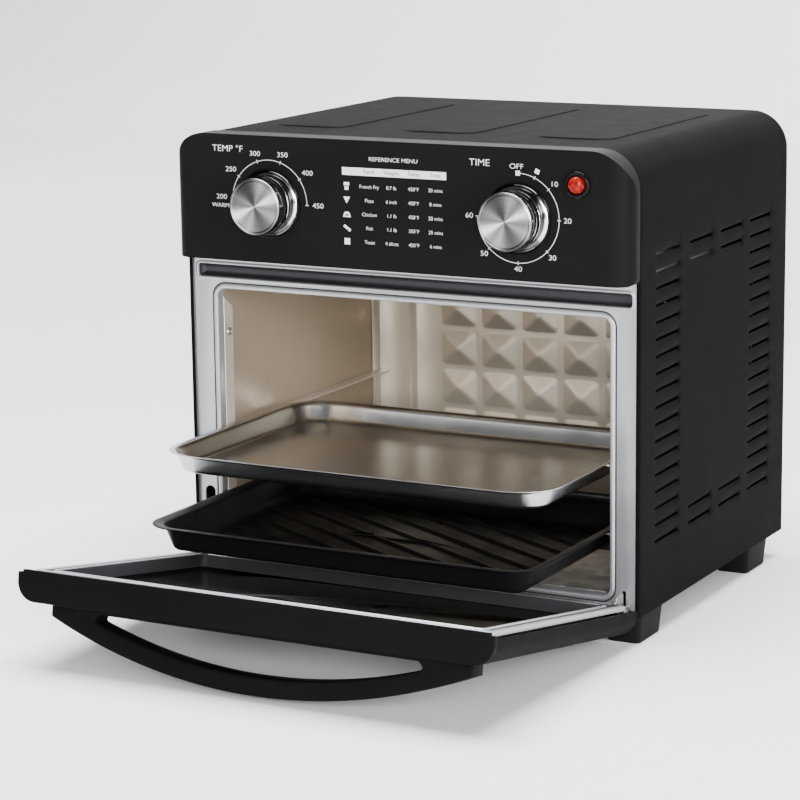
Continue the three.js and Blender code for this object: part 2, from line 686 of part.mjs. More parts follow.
// The plate that joins the door to its pin; the left one carries on as the spring lever.
function hingeArm(side) {
  const hub = 4.6;
  const outline = polygon([
    [HINGE_Y - 3.2, HINGE_Z - 3.2], [HINGE_Y, HINGE_Z - hub], [HINGE_Y + 6, HINGE_Z - 2.6],
    [HINGE_Y + 12, HINGE_Z - 1.5], [HINGE_Y + 12.4, HINGE_Z + 1.5], [HINGE_Y + 9, HINGE_Z + 8.5],
    [HINGE_Y + 5.5, HINGE_Z + 11.2], [HINGE_Y + 5.5, HINGE_Z + 6], [HINGE_Y + 2.4, HINGE_Z + 5.4],
    [HINGE_Y - 3.2, HINGE_Z + 3.2], [HINGE_Y - hub, HINGE_Z],
  ]);
  const x = side * HINGE_X;
  let plate = extrudeX(outline, x - 0.8, x + 0.8);
  if (side < 0) {
    const bar = block(x - 0.8, x + 0.8, HINGE_Y + 5, HINGE_Y + LEVER_LENGTH + 3, HINGE_Z - 2, HINGE_Z + 5);
    const eye = rodX(1.6, x - 5, x + 5, HINGE_Y + LEVER_LENGTH, HINGE_Z + 1.5);
    plate = cut(join(plate, bar), eye);
  }
  return cut(plate, rodX(PIN_RADIUS + GAP, x - 5, x + 5, HINGE_Y, HINGE_Z, 16));
}

function hingeBracket(side) {
  const x0 = side > 0 ? 171.6 : -173;
  const leaf = block(x0, x0 + 1.4, HINGE_Y, -GAP - 0.1, HINGE_Z - 4.4, HINGE_Z + 4.4);
  const eye = rodX(4.4, x0, x0 + 1.4, HINGE_Y, HINGE_Z, 16);
  return cut(join(leaf, eye), rodX(PIN_RADIUS + GAP, x0 - 5, x0 + 5, HINGE_Y, HINGE_Z, 16));
}

// The cap along the door's free edge, stepped at its ends to shut between the casing's lips.
function doorCap() {
  const low = DOOR_TOP_EDGE + GAP + 0.1;
  const edge = DOOR_EDGE_RADIUS + 0.5;
  const outline = roundedRect(-HALF_WIDTH, DOOR.outer, HALF_WIDTH, DOOR.inner, edge, edge, 1, 1);
  const inside = HALF_WIDTH - LIP_WIDTH - 2 * GAP;
  const beyond = HALF_WIDTH + 5;
  const lips = [[-beyond, -inside], [inside, beyond]].map(([x0, x1]) => (
    block(x0, x1, LIP_FRONT - 2 * GAP, 5, low - 5, DOOR.top + 5)
  ));
  return cut(extrudeZ(outline, low, DOOR.top), ...lips);
}

add('door_outer_frame', doorOuterFrame(), blackPaint, door);
add('door_inner_frame', doorInnerFrame(), silverPaint, door);
add('door_glass', extrudeY(
  roundedRect(-DOOR_GLASS.half, DOOR_GLASS.bottom, DOOR_GLASS.half, DOOR_GLASS.top, 6),
  DOOR_GLASS.front, DOOR_GLASS.back,
), glass, door);
add('door_cap', doorCap(), blackPlastic, door);
add('door_handle', doorHandle(), blackPlastic, door);
for (const [name, side] of SIDES) {
  add(`hinge_arm_${name}`, hingeArm(side), galvanised, door);
  add(`hinge_bracket_${name}`, hingeBracket(side), galvanised);
  const pin = side > 0 ? [165.6, 174.2] : [-174.2, -165.6];
  add(`hinge_pin_${name}`, rodX(PIN_RADIUS, ...pin, HINGE_Y, HINGE_Z, 16), springSteel);
}
door.children.forEach((mesh) => mesh.geometry.translate(0, -HINGE_Y, -HINGE_Z));
door.position.set(0, HINGE_Y, HINGE_Z);
door.rotation.x = THREE.MathUtils.degToRad(DOOR_OPEN_ANGLE);

// The coil spring between the left lever's eye and the base of the casing.
function doorSpring() {
  const { front, rear, radius, wire, turns } = SPRING;
  const start = new THREE.Vector3(-HINGE_X, ...front);
  const end = new THREE.Vector3(-HINGE_X, ...rear);
  const points = [];
  for (let n = 0; n <= turns * 8; n += 1) {
    const a = (n * Math.PI) / 4;
    const centre = start.clone().lerp(end, n / (turns * 8));
    points.push(centre.add(new THREE.Vector3(radius * Math.cos(a), 0, radius * Math.sin(a))));
  }
  const path = new THREE.CatmullRomCurve3(points);
  const section = polygon([0, 1, 2, 3, 4, 5].map((n) => {
    const a = (n * Math.PI) / 3;
    return [wire * Math.cos(a), wire * Math.sin(a)];
  }));
  return new THREE.ExtrudeGeometry(section, { steps: turns * 8, bevelEnabled: false, extrudePath: path });
}

add('door_spring', doorSpring(), springSteel);

// ---- trays --------------------------------------------------------------------------------------

// A sloped-wall tray with a flat rim: y0 is its front edge and rim its top.
function trayWithRim({ half, y0, length, rim, depth, rimWidth, radius, slope }) {
  const y1 = y0 + length;
  function outline(inset, r) {
    return roundedRect(-half + inset, y0 + inset, half - inset, y1 - inset, r);
  }
  const wall = rimWidth;
  const floor = rim - depth;
  const body = loft(
    [outline(wall + slope, radius - wall - 4), outline(wall, radius - wall)],
    [floor, rim - 0.5],
  );
  const flange = extrudeZ(outline(0, radius), rim - RIM_THICKNESS, rim);
  const hollow = loft(
    [outline(wall + slope + SHEET, radius - wall - 5), outline(wall + SHEET, radius - wall - 1)],
    [floor + SHEET, rim + 0.5],
  );
  return cut(join(body, flange), hollow);
}

add('steel_tray', trayWithRim({
  half: TRAY_HALF, y0: -TRAY_OUT, length: TRAY_LENGTH, rim: TRAY_RIM_Z, depth: TRAY_DEPTH, rimWidth: 5,
  radius: 32, slope: 4,
}), polishedSteel);
add('baking_pan', trayWithRim({
  half: PAN_HALF, y0: -PAN_OUT, length: PAN_LENGTH, rim: PAN_RIM_Z, depth: PAN_DEPTH, rimWidth: 9,
  radius: 24, slope: 6,
}), enamel);

function crumbTray() {
  const { half, flangeHalf, flangeBottom, flangeTop, wall } = CRUMB;
  const z = CAVITY.bottom + SHEET + GAP;
  const front = CAVITY.front + 3;
  const back = DEPTH + 1.4;
  const tray = block(-half, half, front, back, z, z + wall);
  const inside = block(-half + SHEET, half - SHEET, front + SHEET, DEPTH - 6, z + SHEET, z + 20);
  const flange = block(-flangeHalf, flangeHalf, back - SHEET, back, flangeBottom, flangeTop);
  return join(cut(tray, inside), flange);
}

add('crumb_tray', crumbTray(), galvanised);

// ---- centre the oven on Y -----------------------------------------------------------------------

oven.updateMatrixWorld(true);
const bounds = new THREE.Box3().setFromObject(oven, true);
oven.position.y = -(bounds.min.y + bounds.max.y) / 2;

export default oven;
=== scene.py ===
"""Looks of the countertop toaster oven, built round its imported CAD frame.

Shapes are drawn in millimetres with y = 0 on the silver front frame and z = 0 on the worktop, as the oven is
designed, and to_row() carries them to the row frame in metres. Door pieces are drawn shut and turned open.
"""

import json
import math

import bmesh
import bpy
from mathutils import Matrix, Vector


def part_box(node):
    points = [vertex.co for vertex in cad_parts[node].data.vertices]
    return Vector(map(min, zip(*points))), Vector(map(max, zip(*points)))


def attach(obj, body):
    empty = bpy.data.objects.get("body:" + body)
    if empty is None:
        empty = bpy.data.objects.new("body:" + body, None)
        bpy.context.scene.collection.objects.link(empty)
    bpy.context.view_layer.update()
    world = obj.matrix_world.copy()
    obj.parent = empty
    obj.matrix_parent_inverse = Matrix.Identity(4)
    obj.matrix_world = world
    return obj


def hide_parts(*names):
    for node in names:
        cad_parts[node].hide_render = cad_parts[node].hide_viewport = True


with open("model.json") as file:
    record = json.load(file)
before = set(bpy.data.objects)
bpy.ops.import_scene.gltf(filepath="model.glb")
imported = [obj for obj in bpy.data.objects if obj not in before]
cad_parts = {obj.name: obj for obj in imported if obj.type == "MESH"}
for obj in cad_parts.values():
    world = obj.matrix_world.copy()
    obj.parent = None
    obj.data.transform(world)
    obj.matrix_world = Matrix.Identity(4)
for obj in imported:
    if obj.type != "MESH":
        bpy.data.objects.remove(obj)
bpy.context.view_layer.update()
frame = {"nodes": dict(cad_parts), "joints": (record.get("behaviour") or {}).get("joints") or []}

MM = 0.001

# ---- places taken from the frame ----

BEAD_FRONT = -0.9  # the window bead stands this far in front of the front frame's plane
ROW_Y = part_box("front_frame")[0].y / MM - BEAD_FRONT


def mm_box(node):
    """A CAD node's box in drawing millimetres: (x0, y0, z0), (x1, y1, z1)."""
    low, high = (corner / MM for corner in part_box(node))
    shift = Vector((0, ROW_Y, 0))
    return low - shift, high - shift


WRAP_LOW, WRAP_HIGH = mm_box("outer_wrap")
PANEL_LOW, PANEL_HIGH = mm_box("control_panel")
HINGE = next(joint for joint in frame["joints"] if joint["name"] == "door_hinge")
HINGE_Y = HINGE["pos_m"][1] / MM - ROW_Y
HINGE_Z = HINGE["pos_m"][2] / MM
OPEN_ANGLE = math.radians(-HINGE["range_deg"][0])

HALF_WIDTH = WRAP_HIGH.x
DEPTH = WRAP_HIGH.y
PAD_RISE = 0.8
SKIN_TOP = WRAP_HIGH.z - PAD_RISE
SHOULDER = 28
CASE_BOTTOM = WRAP_LOW.z
LIP_FRONT = WRAP_LOW.y
LIP_WIDTH = 3.2

PANEL_FRONT = PANEL_LOW.y
PANEL_EDGE = 15
PANEL_LOW_CORNER = 4

WINDOW = (-156.8, 33.6, 156.8, 229.7)
WINDOW_RADIUS = 6.5
CHANNEL = (-173, 238, 173, 247.5)
CHANNEL_CORNER = 2.5

LOUVRE_LENGTH = 42
LOUVRE_HALF = 0.6  # narrower than the CAD slot, as the photo hardly shows them open
DENT_REACH = 4.6
LOUVRE_ROWS = [68.8 + (271.6 - 68.8) / 17 * row for row in range(18)]
LOUVRE_COLUMNS = [25.5, 86, 143.5, 201]

# ---- materials ----


class Surface:
    """A Principled material whose colour, roughness and relief vary over the surface."""

    def __init__(self, name, colour, roughness, metallic=0.0, **sockets):
        self.material = bpy.data.materials.new(name)
        self.material.use_nodes = True
        self.tree = self.material.node_tree
        self.shader = self.tree.nodes["Principled BSDF"]
        self.colour = colour
        self.roughness = roughness
        self.shader.inputs["Base Color"].default_value = (*colour, 1)
        self.shader.inputs["Roughness"].default_value = roughness
        self.shader.inputs["Metallic"].default_value = metallic
        for socket, value in sockets.items():
            self.shader.inputs[socket.replace("_", " ")].default_value = value
        self.height = None
        self.place = self.node("TexCoord").outputs["Object"]

    def node(self, kind, inputs=(), **settings):
        """A node with its settings; inputs pair a socket's name or number with a value or another node's output."""
        made = self.tree.nodes.new("ShaderNode" + kind)
        for setting, value in settings.items():
            setattr(made, setting, value)
        for socket, value in dict(inputs).items():
            if isinstance(value, bpy.types.NodeSocket):
                self.link(value, made.inputs[socket])
            else:
                made.inputs[socket].default_value = value
        return made

    def link(self, output, target):
        self.tree.links.new(output, target)

    def noise(self, scale, detail=3.0, stretch=(1, 1, 1)):
        mapping = self.node("Mapping", {"Scale": stretch, "Vector": self.place})
        made = self.node("TexNoise", {"Scale": scale, "Detail": detail, "Vector": mapping.outputs["Vector"]})
        return made.outputs["Fac"]

    def ranged(self, value, low, high, span=(0.3, 0.7)):
        ends = {"From Min": span[0], "From Max": span[1], "To Min": low, "To Max": high}
        return self.node("MapRange", {"Value": value, **ends}).outputs["Result"]

    def tint(self, value, other):
        """Mixes the colour towards another one where value is high."""
        mix = self.node("Mix", {"A": (*self.colour, 1), "B": (*other, 1), "Factor": value}, data_type="RGBA")
        self.link(mix.outputs["Result"], self.shader.inputs["Base Color"])
        return self

    def vary_roughness(self, value, spread):
        low, high = self.roughness - spread, self.roughness + spread
        self.link(self.ranged(value, max(low, 0.02), high), self.shader.inputs["Roughness"])
        return self

    def bump(self, value, depth_mm):
        below = {"Normal": self.height} if self.height else {}
        made = self.node("Bump", {"Strength": 1, "Distance": depth_mm * MM, "Height": value, **below})
        self.height = made.outputs["Normal"]
        self.link(self.height, self.shader.inputs["Normal"])
        return self

    def finish(self, clouds, other, marks, spread, *relief, span=(0.3, 0.7)):
        """Tints in clouds, varies the roughness in marks and adds relief: (scale, detail) and (scale, detail, mm)."""
        self.tint(self.ranged(self.noise(*clouds), 0, 1, span), other)
        if marks:
            self.vary_roughness(self.noise(*marks), spread)
        for scale, detail, depth_mm in relief:
            self.bump(self.noise(scale, detail), depth_mm)
        return self.material

    def polar(self, x, z):
        """The angle and the radius of each point about an axis along Y."""
        offset = self.node("VectorMath", {0: self.place, 1: (x * MM, 0, z * MM)}, operation="SUBTRACT")
        parts = self.node("SeparateXYZ", {"Vector": offset.outputs["Vector"]}).outputs
        angle = self.node("Math", {0: parts["Z"], 1: parts["X"]}, operation="ARCTAN2")
        flat = self.node("CombineXYZ", {"X": parts["X"], "Y": parts["Z"]})
        radius = self.node("VectorMath", {0: flat.outputs["Vector"]}, operation="LENGTH")
        return angle.outputs["Value"], radius.outputs["Value"]

    def painted_sectors(self, angle, times, towards, stops):
        """Painted highlight and shade: greys that follow an angle's cosine, peaking at a direction; stops pair a
        place from 0 to 1 and a grey.
        """
        turn = {0: angle, 1: times, 2: math.radians(-times * towards)}
        turned = self.node("Math", turn, operation="MULTIPLY_ADD")
        wave = self.node("Math", {0: turned.outputs["Value"]}, operation="COSINE")
        ramp = self.node("ValToRGB", {"Fac": self.ranged(wave.outputs["Value"], 0, 1, (-1, 1))})
        while len(ramp.color_ramp.elements) < len(stops):
            ramp.color_ramp.elements.new(0.5)
        for element, (place, grey) in zip(ramp.color_ramp.elements, stops):
            element.position = place
            element.color = (grey, grey, grey * 1.01, 1)
        self.link(ramp.outputs["Color"], self.shader.inputs["Base Color"])
        return self


def scaled(colour, share):
    return tuple(c * share for c in colour)


def powder_coat(name, colour, roughness, relief, ior=1.12):
    """Satin sprayed paint with a fine orange-peel skin."""
    paint = Surface(name, colour, roughness, IOR=ior)
    return paint.finish((22, 4), scaled(colour, 1.25), (60, 5), 0.02, (1500, 2, relief), (260, 2, relief * 1.5))


def moulded(name, colour, roughness, relief, ior=1.14):
    """Moulded plastic: faint spark texture and slight flow marks."""
    plastic = Surface(name, colour, roughness, IOR=ior)
    return plastic.finish((9, 3), scaled(colour, 1.25), (45, 4), 0.012, (2600, 2, relief))


def brushed(name, colour, roughness, along, smudge=0.05, relief=0.006, metallic=1.0):
    """Rolled or brushed steel: fine lines along one axis over soft cloudy patches."""
    steel = Surface(name, colour, roughness, metallic)
    stretch = tuple(0.03 if axis == along else 1.0 for axis in "xyz")
    steel.bump(steel.noise(900, 4, stretch), relief)
    steel.shader.inputs["Anisotropic"].default_value = 0.35
    return steel.finish((7, 4), scaled(colour, 0.82), (16, 5), smudge)


def silver_paint():
    """Metallic lacquer: bright flakes in a clear coat."""
    paint = Surface("silver_lacquer", (0.37, 0.38, 0.4), 0.42, 0.7, Coat_Weight=0.25, Coat_Roughness=0.25)
    return paint.finish((1900, 2), (0.48, 0.49, 0.515), (30, 4), 0.05, (1900, 2, 0.006), (180, 2, 0.006),
                        span=(0.42, 0.62))


def enamel():
    """Glossy baked black enamel with a soft orange peel and fine pits."""
    glaze = Surface("black_enamel", (0.006, 0.006, 0.0066), 0.34, IOR=1.15)
    return glaze.finish((900, 1), (0.02, 0.02, 0.022), (25, 5), 0.07, (170, 3, 0.02), span=(0.68, 0.74))


def galvanised(name, colour, roughness):
    """Zinc plate with its spangle of crystals."""
    zinc = Surface(name, colour, roughness, 0.9)
    cells = zinc.node("TexVoronoi", {"Scale": 130, "Vector": zinc.place})
    level = zinc.node("SeparateColor", {"Color": cells.outputs["Color"]})
    zinc.tint(zinc.ranged(level.outputs["Red"], 0, 1, (0, 1)), scaled(colour, 0.7))
    zinc.vary_roughness(level.outputs["Green"], 0.1)
    zinc.bump(zinc.noise(400, 3), 0.01)
    return zinc.material


def spun_aluminium_painted_glints(name, x, z):
    """A turned face: rings round the knob's axis, with glints and dark sectors painted into its colour that fan out
    from its centre.
    """
    metal = Surface(name, (0.6, 0.6, 0.61), 0.32, 1.0)
    angle, radius = metal.polar(x, z)
    metal.painted_sectors(angle, 2, 24, [(0, 0.06), (0.12, 0.1), (0.45, 0.3), (0.8, 0.2), (0.92, 0.34), (1, 1)])
    rings = metal.node("TexNoise", {"Scale": 5200, "Detail": 3, "W": radius}, noise_dimensions="1D")
    metal.vary_roughness(rings.outputs["Fac"], 0.1)
    metal.bump(rings.outputs["Fac"], 0.012)
    metal.shader.inputs["Anisotropic"].default_value = 0.6
    tangent = metal.node("Tangent", direction_type="RADIAL", axis="Y")
    metal.link(tangent.outputs["Tangent"], metal.shader.inputs["Tangent"])
    return metal.material


def painted_glint_chrome(name, x, z):
    """Chrome of a turned ring in a dark surround, with a painted highlight on its right and painted dark reflection
    elsewhere.
    """
    metal = Surface(name, (0.6, 0.6, 0.61), 0.1, 1.0)
    angle, radius = metal.polar(x, z)
    metal.painted_sectors(angle, 1, 2, [(0, 0.01), (0.6, 0.012), (0.72, 0.09), (0.86, 0.12), (0.91, 0.8), (1, 0.9)])
    metal.vary_roughness(metal.noise(80, 4), 0.03)
    metal.bump(metal.noise(300, 2), 0.002)
    return metal.material


def polished(name, colour, roughness):
    metal = Surface(name, colour, roughness, 1.0)
    return metal.finish((30, 3), scaled(colour, 0.92), (80, 4), 0.03, (300, 2, 0.002))


def oxidised(name, colour):
    """Heater and spring steel, darkened and mottled by heat."""
    metal = Surface(name, colour, 0.42, 0.9)
    return metal.finish((40, 5), (0.2, 0.16, 0.13), (120, 4), 0.12, (700, 3, 0.01))


def door_glass():
    pane = Surface("smoked_glass", (0.008, 0.0085, 0.0085), 0.05, IOR=1.16, Alpha=0.9)
    return pane.finish((500, 1), (0.02, 0.02, 0.021), (14, 5), 0.03, (9, 2, 0.03), span=(0.7, 0.8))


def lamp_red():
    lens = Surface("lamp_red", (0.12, 0.002, 0.001), 0.2, IOR=1.25, Emission_Color=(1, 0.03, 0.01, 1),
                   Emission_Strength=0.06)
    return lens.finish((420, 2), (0.3, 0.012, 0.005), None, 0, (500, 2, 0.05), span=(0.4, 0.7))


def printing():
    ink = Surface("white_print", (0.78, 0.78, 0.77), 0.6)
    return ink.finish((900, 3), (0.68, 0.68, 0.67), None, 0, (2500, 2, 0.003))


BLACK_PAINT = powder_coat("satin_black_powder", (0.0035, 0.0035, 0.0036), 0.55, 0.008, 1.055)
DOOR_PAINT = powder_coat("door_black_powder", (0.0035, 0.0035, 0.0037), 0.45, 0.006, 1.06)
PANEL_PLASTIC = moulded("panel_black", (0.006, 0.006, 0.0061), 0.38, 0.003, 1.085)
TRIM_PLASTIC = moulded("trim_black", (0.004, 0.004, 0.0042), 0.42, 0.006, 1.07)
GLOSS_PLASTIC = moulded("knob_gloss_black", (0.003, 0.003, 0.0032), 0.16, 0.001, 1.2)
RUBBER = moulded("foot_black", (0.006, 0.006, 0.006), 0.55, 0.02, 1.1)
SILVER = silver_paint()
# A dark grey that stands for painted shade, in the front frame's grooves and edges and on the door rim's band.
PAINTED_SHADE_GREY = powder_coat("painted_shade_grey", (0.03, 0.031, 0.034), 0.42, 0.005, 1.2)
INK = moulded("dark_print", (0.014, 0.014, 0.015), 0.5, 0.002)
# The vent trough's steel, coloured dark grey as painted shade in its recess.
SHADED_CHANNEL_STEEL = brushed("channel_painted_shade_grey", (0.05, 0.051, 0.056), 0.62, "x", 0.05, 0.003, metallic=0.9)
# One stainless in three tones: darker on the cavity walls as painted shade, lighter on the back and the rack guides
# as painted light.
SHADED_CAVITY_STEEL = brushed("cavity_stainless_painted_shade", (0.44, 0.36, 0.27), 0.42, "z", 0.1, 0.004, metallic=0.6)
LIT_BACK_STEEL = brushed("cavity_back_stainless_painted_light", (0.76, 0.68, 0.56), 0.45, "x", 0.05, 0.004, metallic=0.62)
LIT_GUIDE_STEEL = brushed("guide_stainless_painted_light", (0.74, 0.69, 0.61), 0.36, "z", 0.05, 0.004, metallic=0.6)
TRAY_STEEL = brushed("tray_bright_steel", (0.62, 0.62, 0.61), 0.2, "x", 0.06, 0.004)
# Near black on the cavity walls' outer faces inside the casing, as painted shade.
CAVITY_OUTSIDE_SHADE = powder_coat("cavity_outside_painted_shade", (0.012, 0.0115, 0.011), 0.6, 0.01)
ZINC = galvanised("zinc_plate", (0.5, 0.51, 0.52), 0.42)
# Zinc darkened as painted shade, for the parts inside the casing.
SHADED_INNER_ZINC = galvanised("inner_zinc_painted_shade", (0.1, 0.1, 0.102), 0.5)
HINGE_ZINC = galvanised("hinge_zinc", (0.62, 0.63, 0.64), 0.3)
ENAMEL = enamel()
CHROME = polished("chrome", (0.8, 0.8, 0.81), 0.07)
FAN_ALUMINIUM = brushed("fan_aluminium", (0.66, 0.66, 0.67), 0.35, "x")
HOT_STEEL = oxidised("hot_steel", (0.11, 0.105, 0.1))
GLASS = door_glass()
LAMP_RED = lamp_red()
PRINT = printing()

# ---- outlines ----


def rounded(x0, z0, x1, z1, radii, steps=8):
    """A rounded rectangle, anticlockwise from its low-left corner; radii run the same way round."""
    radii = [radii] * 4 if isinstance(radii, (int, float)) else radii
    low_left, low_right, high_right, high_left = (max(r, 0.01) for r in radii)
    corners = [
        (x0 + low_left, z0 + low_left, low_left, 180),
        (x1 - low_right, z0 + low_right, low_right, 270),
        (x1 - high_right, z1 - high_right, high_right, 0),
        (x0 + high_left, z1 - high_left, high_left, 90),
    ]
    points = []
    for cx, cz, r, start in corners:
        for step in range(steps + 1):
            a = math.radians(start + 90 * step / steps)
            points.append((cx + r * math.cos(a), cz + r * math.sin(a)))
    return points


def grown(rect, amount):
    x0, z0, x1, z1 = rect
    return x0 - amount, z0 - amount, x1 + amount, z1 + amount


def between(first, second, t):
    return tuple(a + (b - a) * t for a, b in zip(first, second))


# ---- meshes ----

DOOR_TURN = (Matrix.Translation((0, HINGE_Y, HINGE_Z)) @ Matrix.Rotation(OPEN_ANGLE, 4, "X")
             @ Matrix.Translation((0, -HINGE_Y, -HINGE_Z)))
TO_ROW = Matrix.Scale(MM, 4) @ Matrix.Translation((0, ROW_Y, 0))


def linked(name, mesh):
    obj = bpy.data.objects.new(name, mesh)
    bpy.context.scene.collection.objects.link(obj)
    return obj


def from_data(name, points, faces, turn=Matrix.Identity(4)):
    """A mesh from drawing points, with doubles merged and its faces turned outwards."""
    mesh = bpy.data.meshes.new(name)
    carry = TO_ROW @ turn
    mesh.from_pydata([carry @ Vector(p) for p in points], [], faces)
    shape = bmesh.new()
    shape.from_mesh(mesh)
    bmesh.ops.remove_doubles(shape, verts=shape.verts, dist=1e-6)
    bmesh.ops.dissolve_degenerate(shape, edges=shape.edges, dist=1e-7)
    bmesh.ops.recalc_face_normals(shape, faces=shape.faces)
    shape.to_mesh(mesh)
    shape.free()
    return mesh


def middle(low, high):
    return [(a + b) / 2 for a, b in zip(low, high)]


def grid(rows, columns):
    """Quads between neighbouring rows of a grid of points."""
    return [(r * columns + c, r * columns + c + 1, (r + 1) * columns + c + 1, (r + 1) * columns + c)
            for r in range(rows - 1) for c in range(columns - 1)]


def through(rings, close_section=False, cap_first=False, cap_last=False):
    """Points and quads through rings that all have the same number of points."""
    count = len(rings[0])
    points = [p for ring in rings for p in ring]
    faces = []
    spans = len(rings) if close_section else len(rings) - 1
    for level in range(spans):
        low, high = level * count, (level + 1) % len(rings) * count
        for i in range(count):
            j = (i + 1) % count
            faces.append((low + i, low + j, high + j, high + i))
    if cap_first:
        faces.append(tuple(range(count))[::-1])
    if cap_last:
        faces.append(tuple(range((len(rings) - 1) * count, len(rings) * count)))
    return points, faces


def skinned(name, rings, **ends):
    """A piece whose surface runs through rings."""
    return linked(name, from_data(name, *through(rings, **ends)))


def moved(obj, turn):
    """Carries a piece by a matrix given in drawing millimetres."""
    obj.data.transform(TO_ROW @ turn @ TO_ROW.inverted())
    return obj


def applied(obj):
    """Turns an object's modifiers into its mesh."""
    graph = bpy.context.evaluated_depsgraph_get()
    mesh = bpy.data.meshes.new_from_object(obj.evaluated_get(graph))
    obj.modifiers.clear()
    if obj.type == "MESH":
        obj.data = mesh
        return obj
    name = obj.name
    bpy.data.objects.remove(obj)
    return linked(name, mesh)


def thickened(obj, thickness_mm, offset=-1.0):
    solid = obj.modifiers.new("sheet", "SOLIDIFY")
    solid.thickness = thickness_mm * MM
    solid.offset = offset
    solid.use_even_offset = True
    return applied(obj)


def softened(obj, width_mm, segments, angle=35):
    """Rounds the edges that meet at more than angle degrees."""
    edge = obj.modifiers.new("rounded_edges", "BEVEL")
    edge.width = width_mm * MM
    edge.segments = segments
    edge.limit_method = "ANGLE"
    edge.angle_limit = math.radians(angle)
    return obj


def smoothed(obj, angle=40):
    obj.data.shade_smooth()
    obj.data.set_sharp_from_angle(angle=math.radians(angle))
    return obj


def fitted(obj, body, slot, material, *nodes, smooth=None):
    """Gives a piece its material and body, lets it stand for its CAD nodes, and smooths it up to an angle; slot is
    not used.
    """
    if material:
        obj.data.materials.clear()
        obj.data.materials.append(material)
    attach(obj, body)
    if nodes:
        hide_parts(*nodes)
    if smooth:
        smoothed(obj, smooth)
    return obj


def flat_plate(name, outline, holes, low, high, edge, axis="y", turn=Matrix.Identity(4)):
    """A plate with rounded edges: an outline and its holes, thick from low to high along an axis."""
    curve = bpy.data.curves.new(name, "CURVE")
    curve.dimensions = "2D"
    curve.fill_mode = "BOTH"
    for points in [outline, *holes]:
        spline = curve.splines.new("POLY")
        spline.points.add(len(points) - 1)
        for point, (u, v) in zip(spline.points, points):
            point.co = (u * MM, v * MM, 0, 1)
        spline.use_cyclic_u = True
    curve.extrude = ((high - low) / 2 - edge) * MM
    curve.bevel_depth = edge * MM
    curve.bevel_resolution = 2
    curve.offset = -edge * MM
    obj = applied(linked(name, curve))
    middle = (low + high) / 2
    if axis == "y":
        place = Matrix.Translation((0, middle, 0)) @ Matrix.Rotation(math.radians(90), 4, "X")
    else:
        place = Matrix.Translation((0, 0, middle))
    obj.data.transform(TO_ROW @ turn @ place @ Matrix.Scale(1 / MM, 4))
    shape = bmesh.new()
    shape.from_mesh(obj.data)
    bmesh.ops.remove_doubles(shape, verts=shape.verts, dist=1e-6)
    bmesh.ops.recalc_face_normals(shape, faces=shape.faces)
    shape.to_mesh(obj.data)
    shape.free()
    return smoothed(obj)


def extruded(name, outline, low, high, axis):
    """A plain closed solid from an outline, along z, y or x; for cutting and as a start."""
    order = {"z": lambda u, v, w: (u, v, w), "y": lambda u, v, w: (u, w, v), "x": lambda u, v, w: (w, u, v)}[axis]
    rings = [[order(u, v, w) for u, v in outline] for w in (low, high)]
    return skinned(name, rings, cap_first=True, cap_last=True)


def lathed(name, profile, x, z, steps=96, turn=Matrix.Identity(4)):
    """A turned piece about an axis along Y; the profile holds (radius, y) points."""
    rings = []
    for step in range(steps):
        a = 2 * math.pi * step / steps
        rings.append([(x + r * math.cos(a), y, z + r * math.sin(a)) for r, y in profile])
    count = len(profile)
    points = [p for ring in rings for p in ring]
    faces = []
    for step in range(steps):
        low, high = step * count, (step + 1) % steps * count
        for i in range(count - 1):
            faces.append((low + i, low + i + 1, high + i + 1, high + i))
    return linked(name, from_data(name, points, faces, turn))


def joined(name, objects):
    """One object from several, with their materials kept."""
    shape = bmesh.new()
    materials = []
    for obj in objects:
        start = len(shape.faces)
        shape.from_mesh(obj.data)
        shape.faces.ensure_lookup_table()
        own = [m for m in obj.data.materials]
        for face in shape.faces[start:]:
            material = own[face.material_index] if own else None
            if material and material not in materials:
                materials.append(material)
            face.material_index = materials.index(material) if material else 0
        bpy.data.objects.remove(obj)
    mesh = bpy.data.meshes.new(name)
    shape.to_mesh(mesh)
    shape.free()
    for material in materials:
        mesh.materials.append(material)
    return linked(name, mesh)


def difference(obj, tools):
    """Cuts tools out of a piece."""
    for tool in tools:
        carve = obj.modifiers.new("cut", "BOOLEAN")
        carve.operation = "DIFFERENCE"
        carve.object = tool
        carve.solver = "EXACT"
    applied(obj)
    for tool in tools:
        bpy.data.objects.remove(tool)
    return obj


def refined(node, body, slot, material, edge):
    """A CAD node's own shape with its flat facets merged and its edges broken."""
    obj = linked(f"{node}_finished", frame["nodes"][node].data.copy())
    shape = bmesh.new()
    shape.from_mesh(obj.data)
    bmesh.ops.remove_doubles(shape, verts=shape.verts, dist=2e-6)
    bmesh.ops.dissolve_limit(shape, angle_limit=math.radians(1), verts=shape.verts, edges=shape.edges)
    shape.to_mesh(obj.data)
    shape.free()
    softened(obj, edge, 2, 30)
    fitted(obj, body, slot, material, node)
    return smoothed(obj, 30)


# ---- camera, light and floor ----

CAMERA_AZIMUTH = math.radians(28.276)
CAMERA_ELEVATION = math.radians(11.698)
CAMERA_ROLL = math.radians(-0.735)
CAMERA_DISTANCE = 2025.4
CAMERA_FOCAL = 126.04
SENSOR_WIDTH = 36
AIM_RIGHT = -7.75  # how far the aim lies off the origin, along the picture's own axes
AIM_UP = 156.14


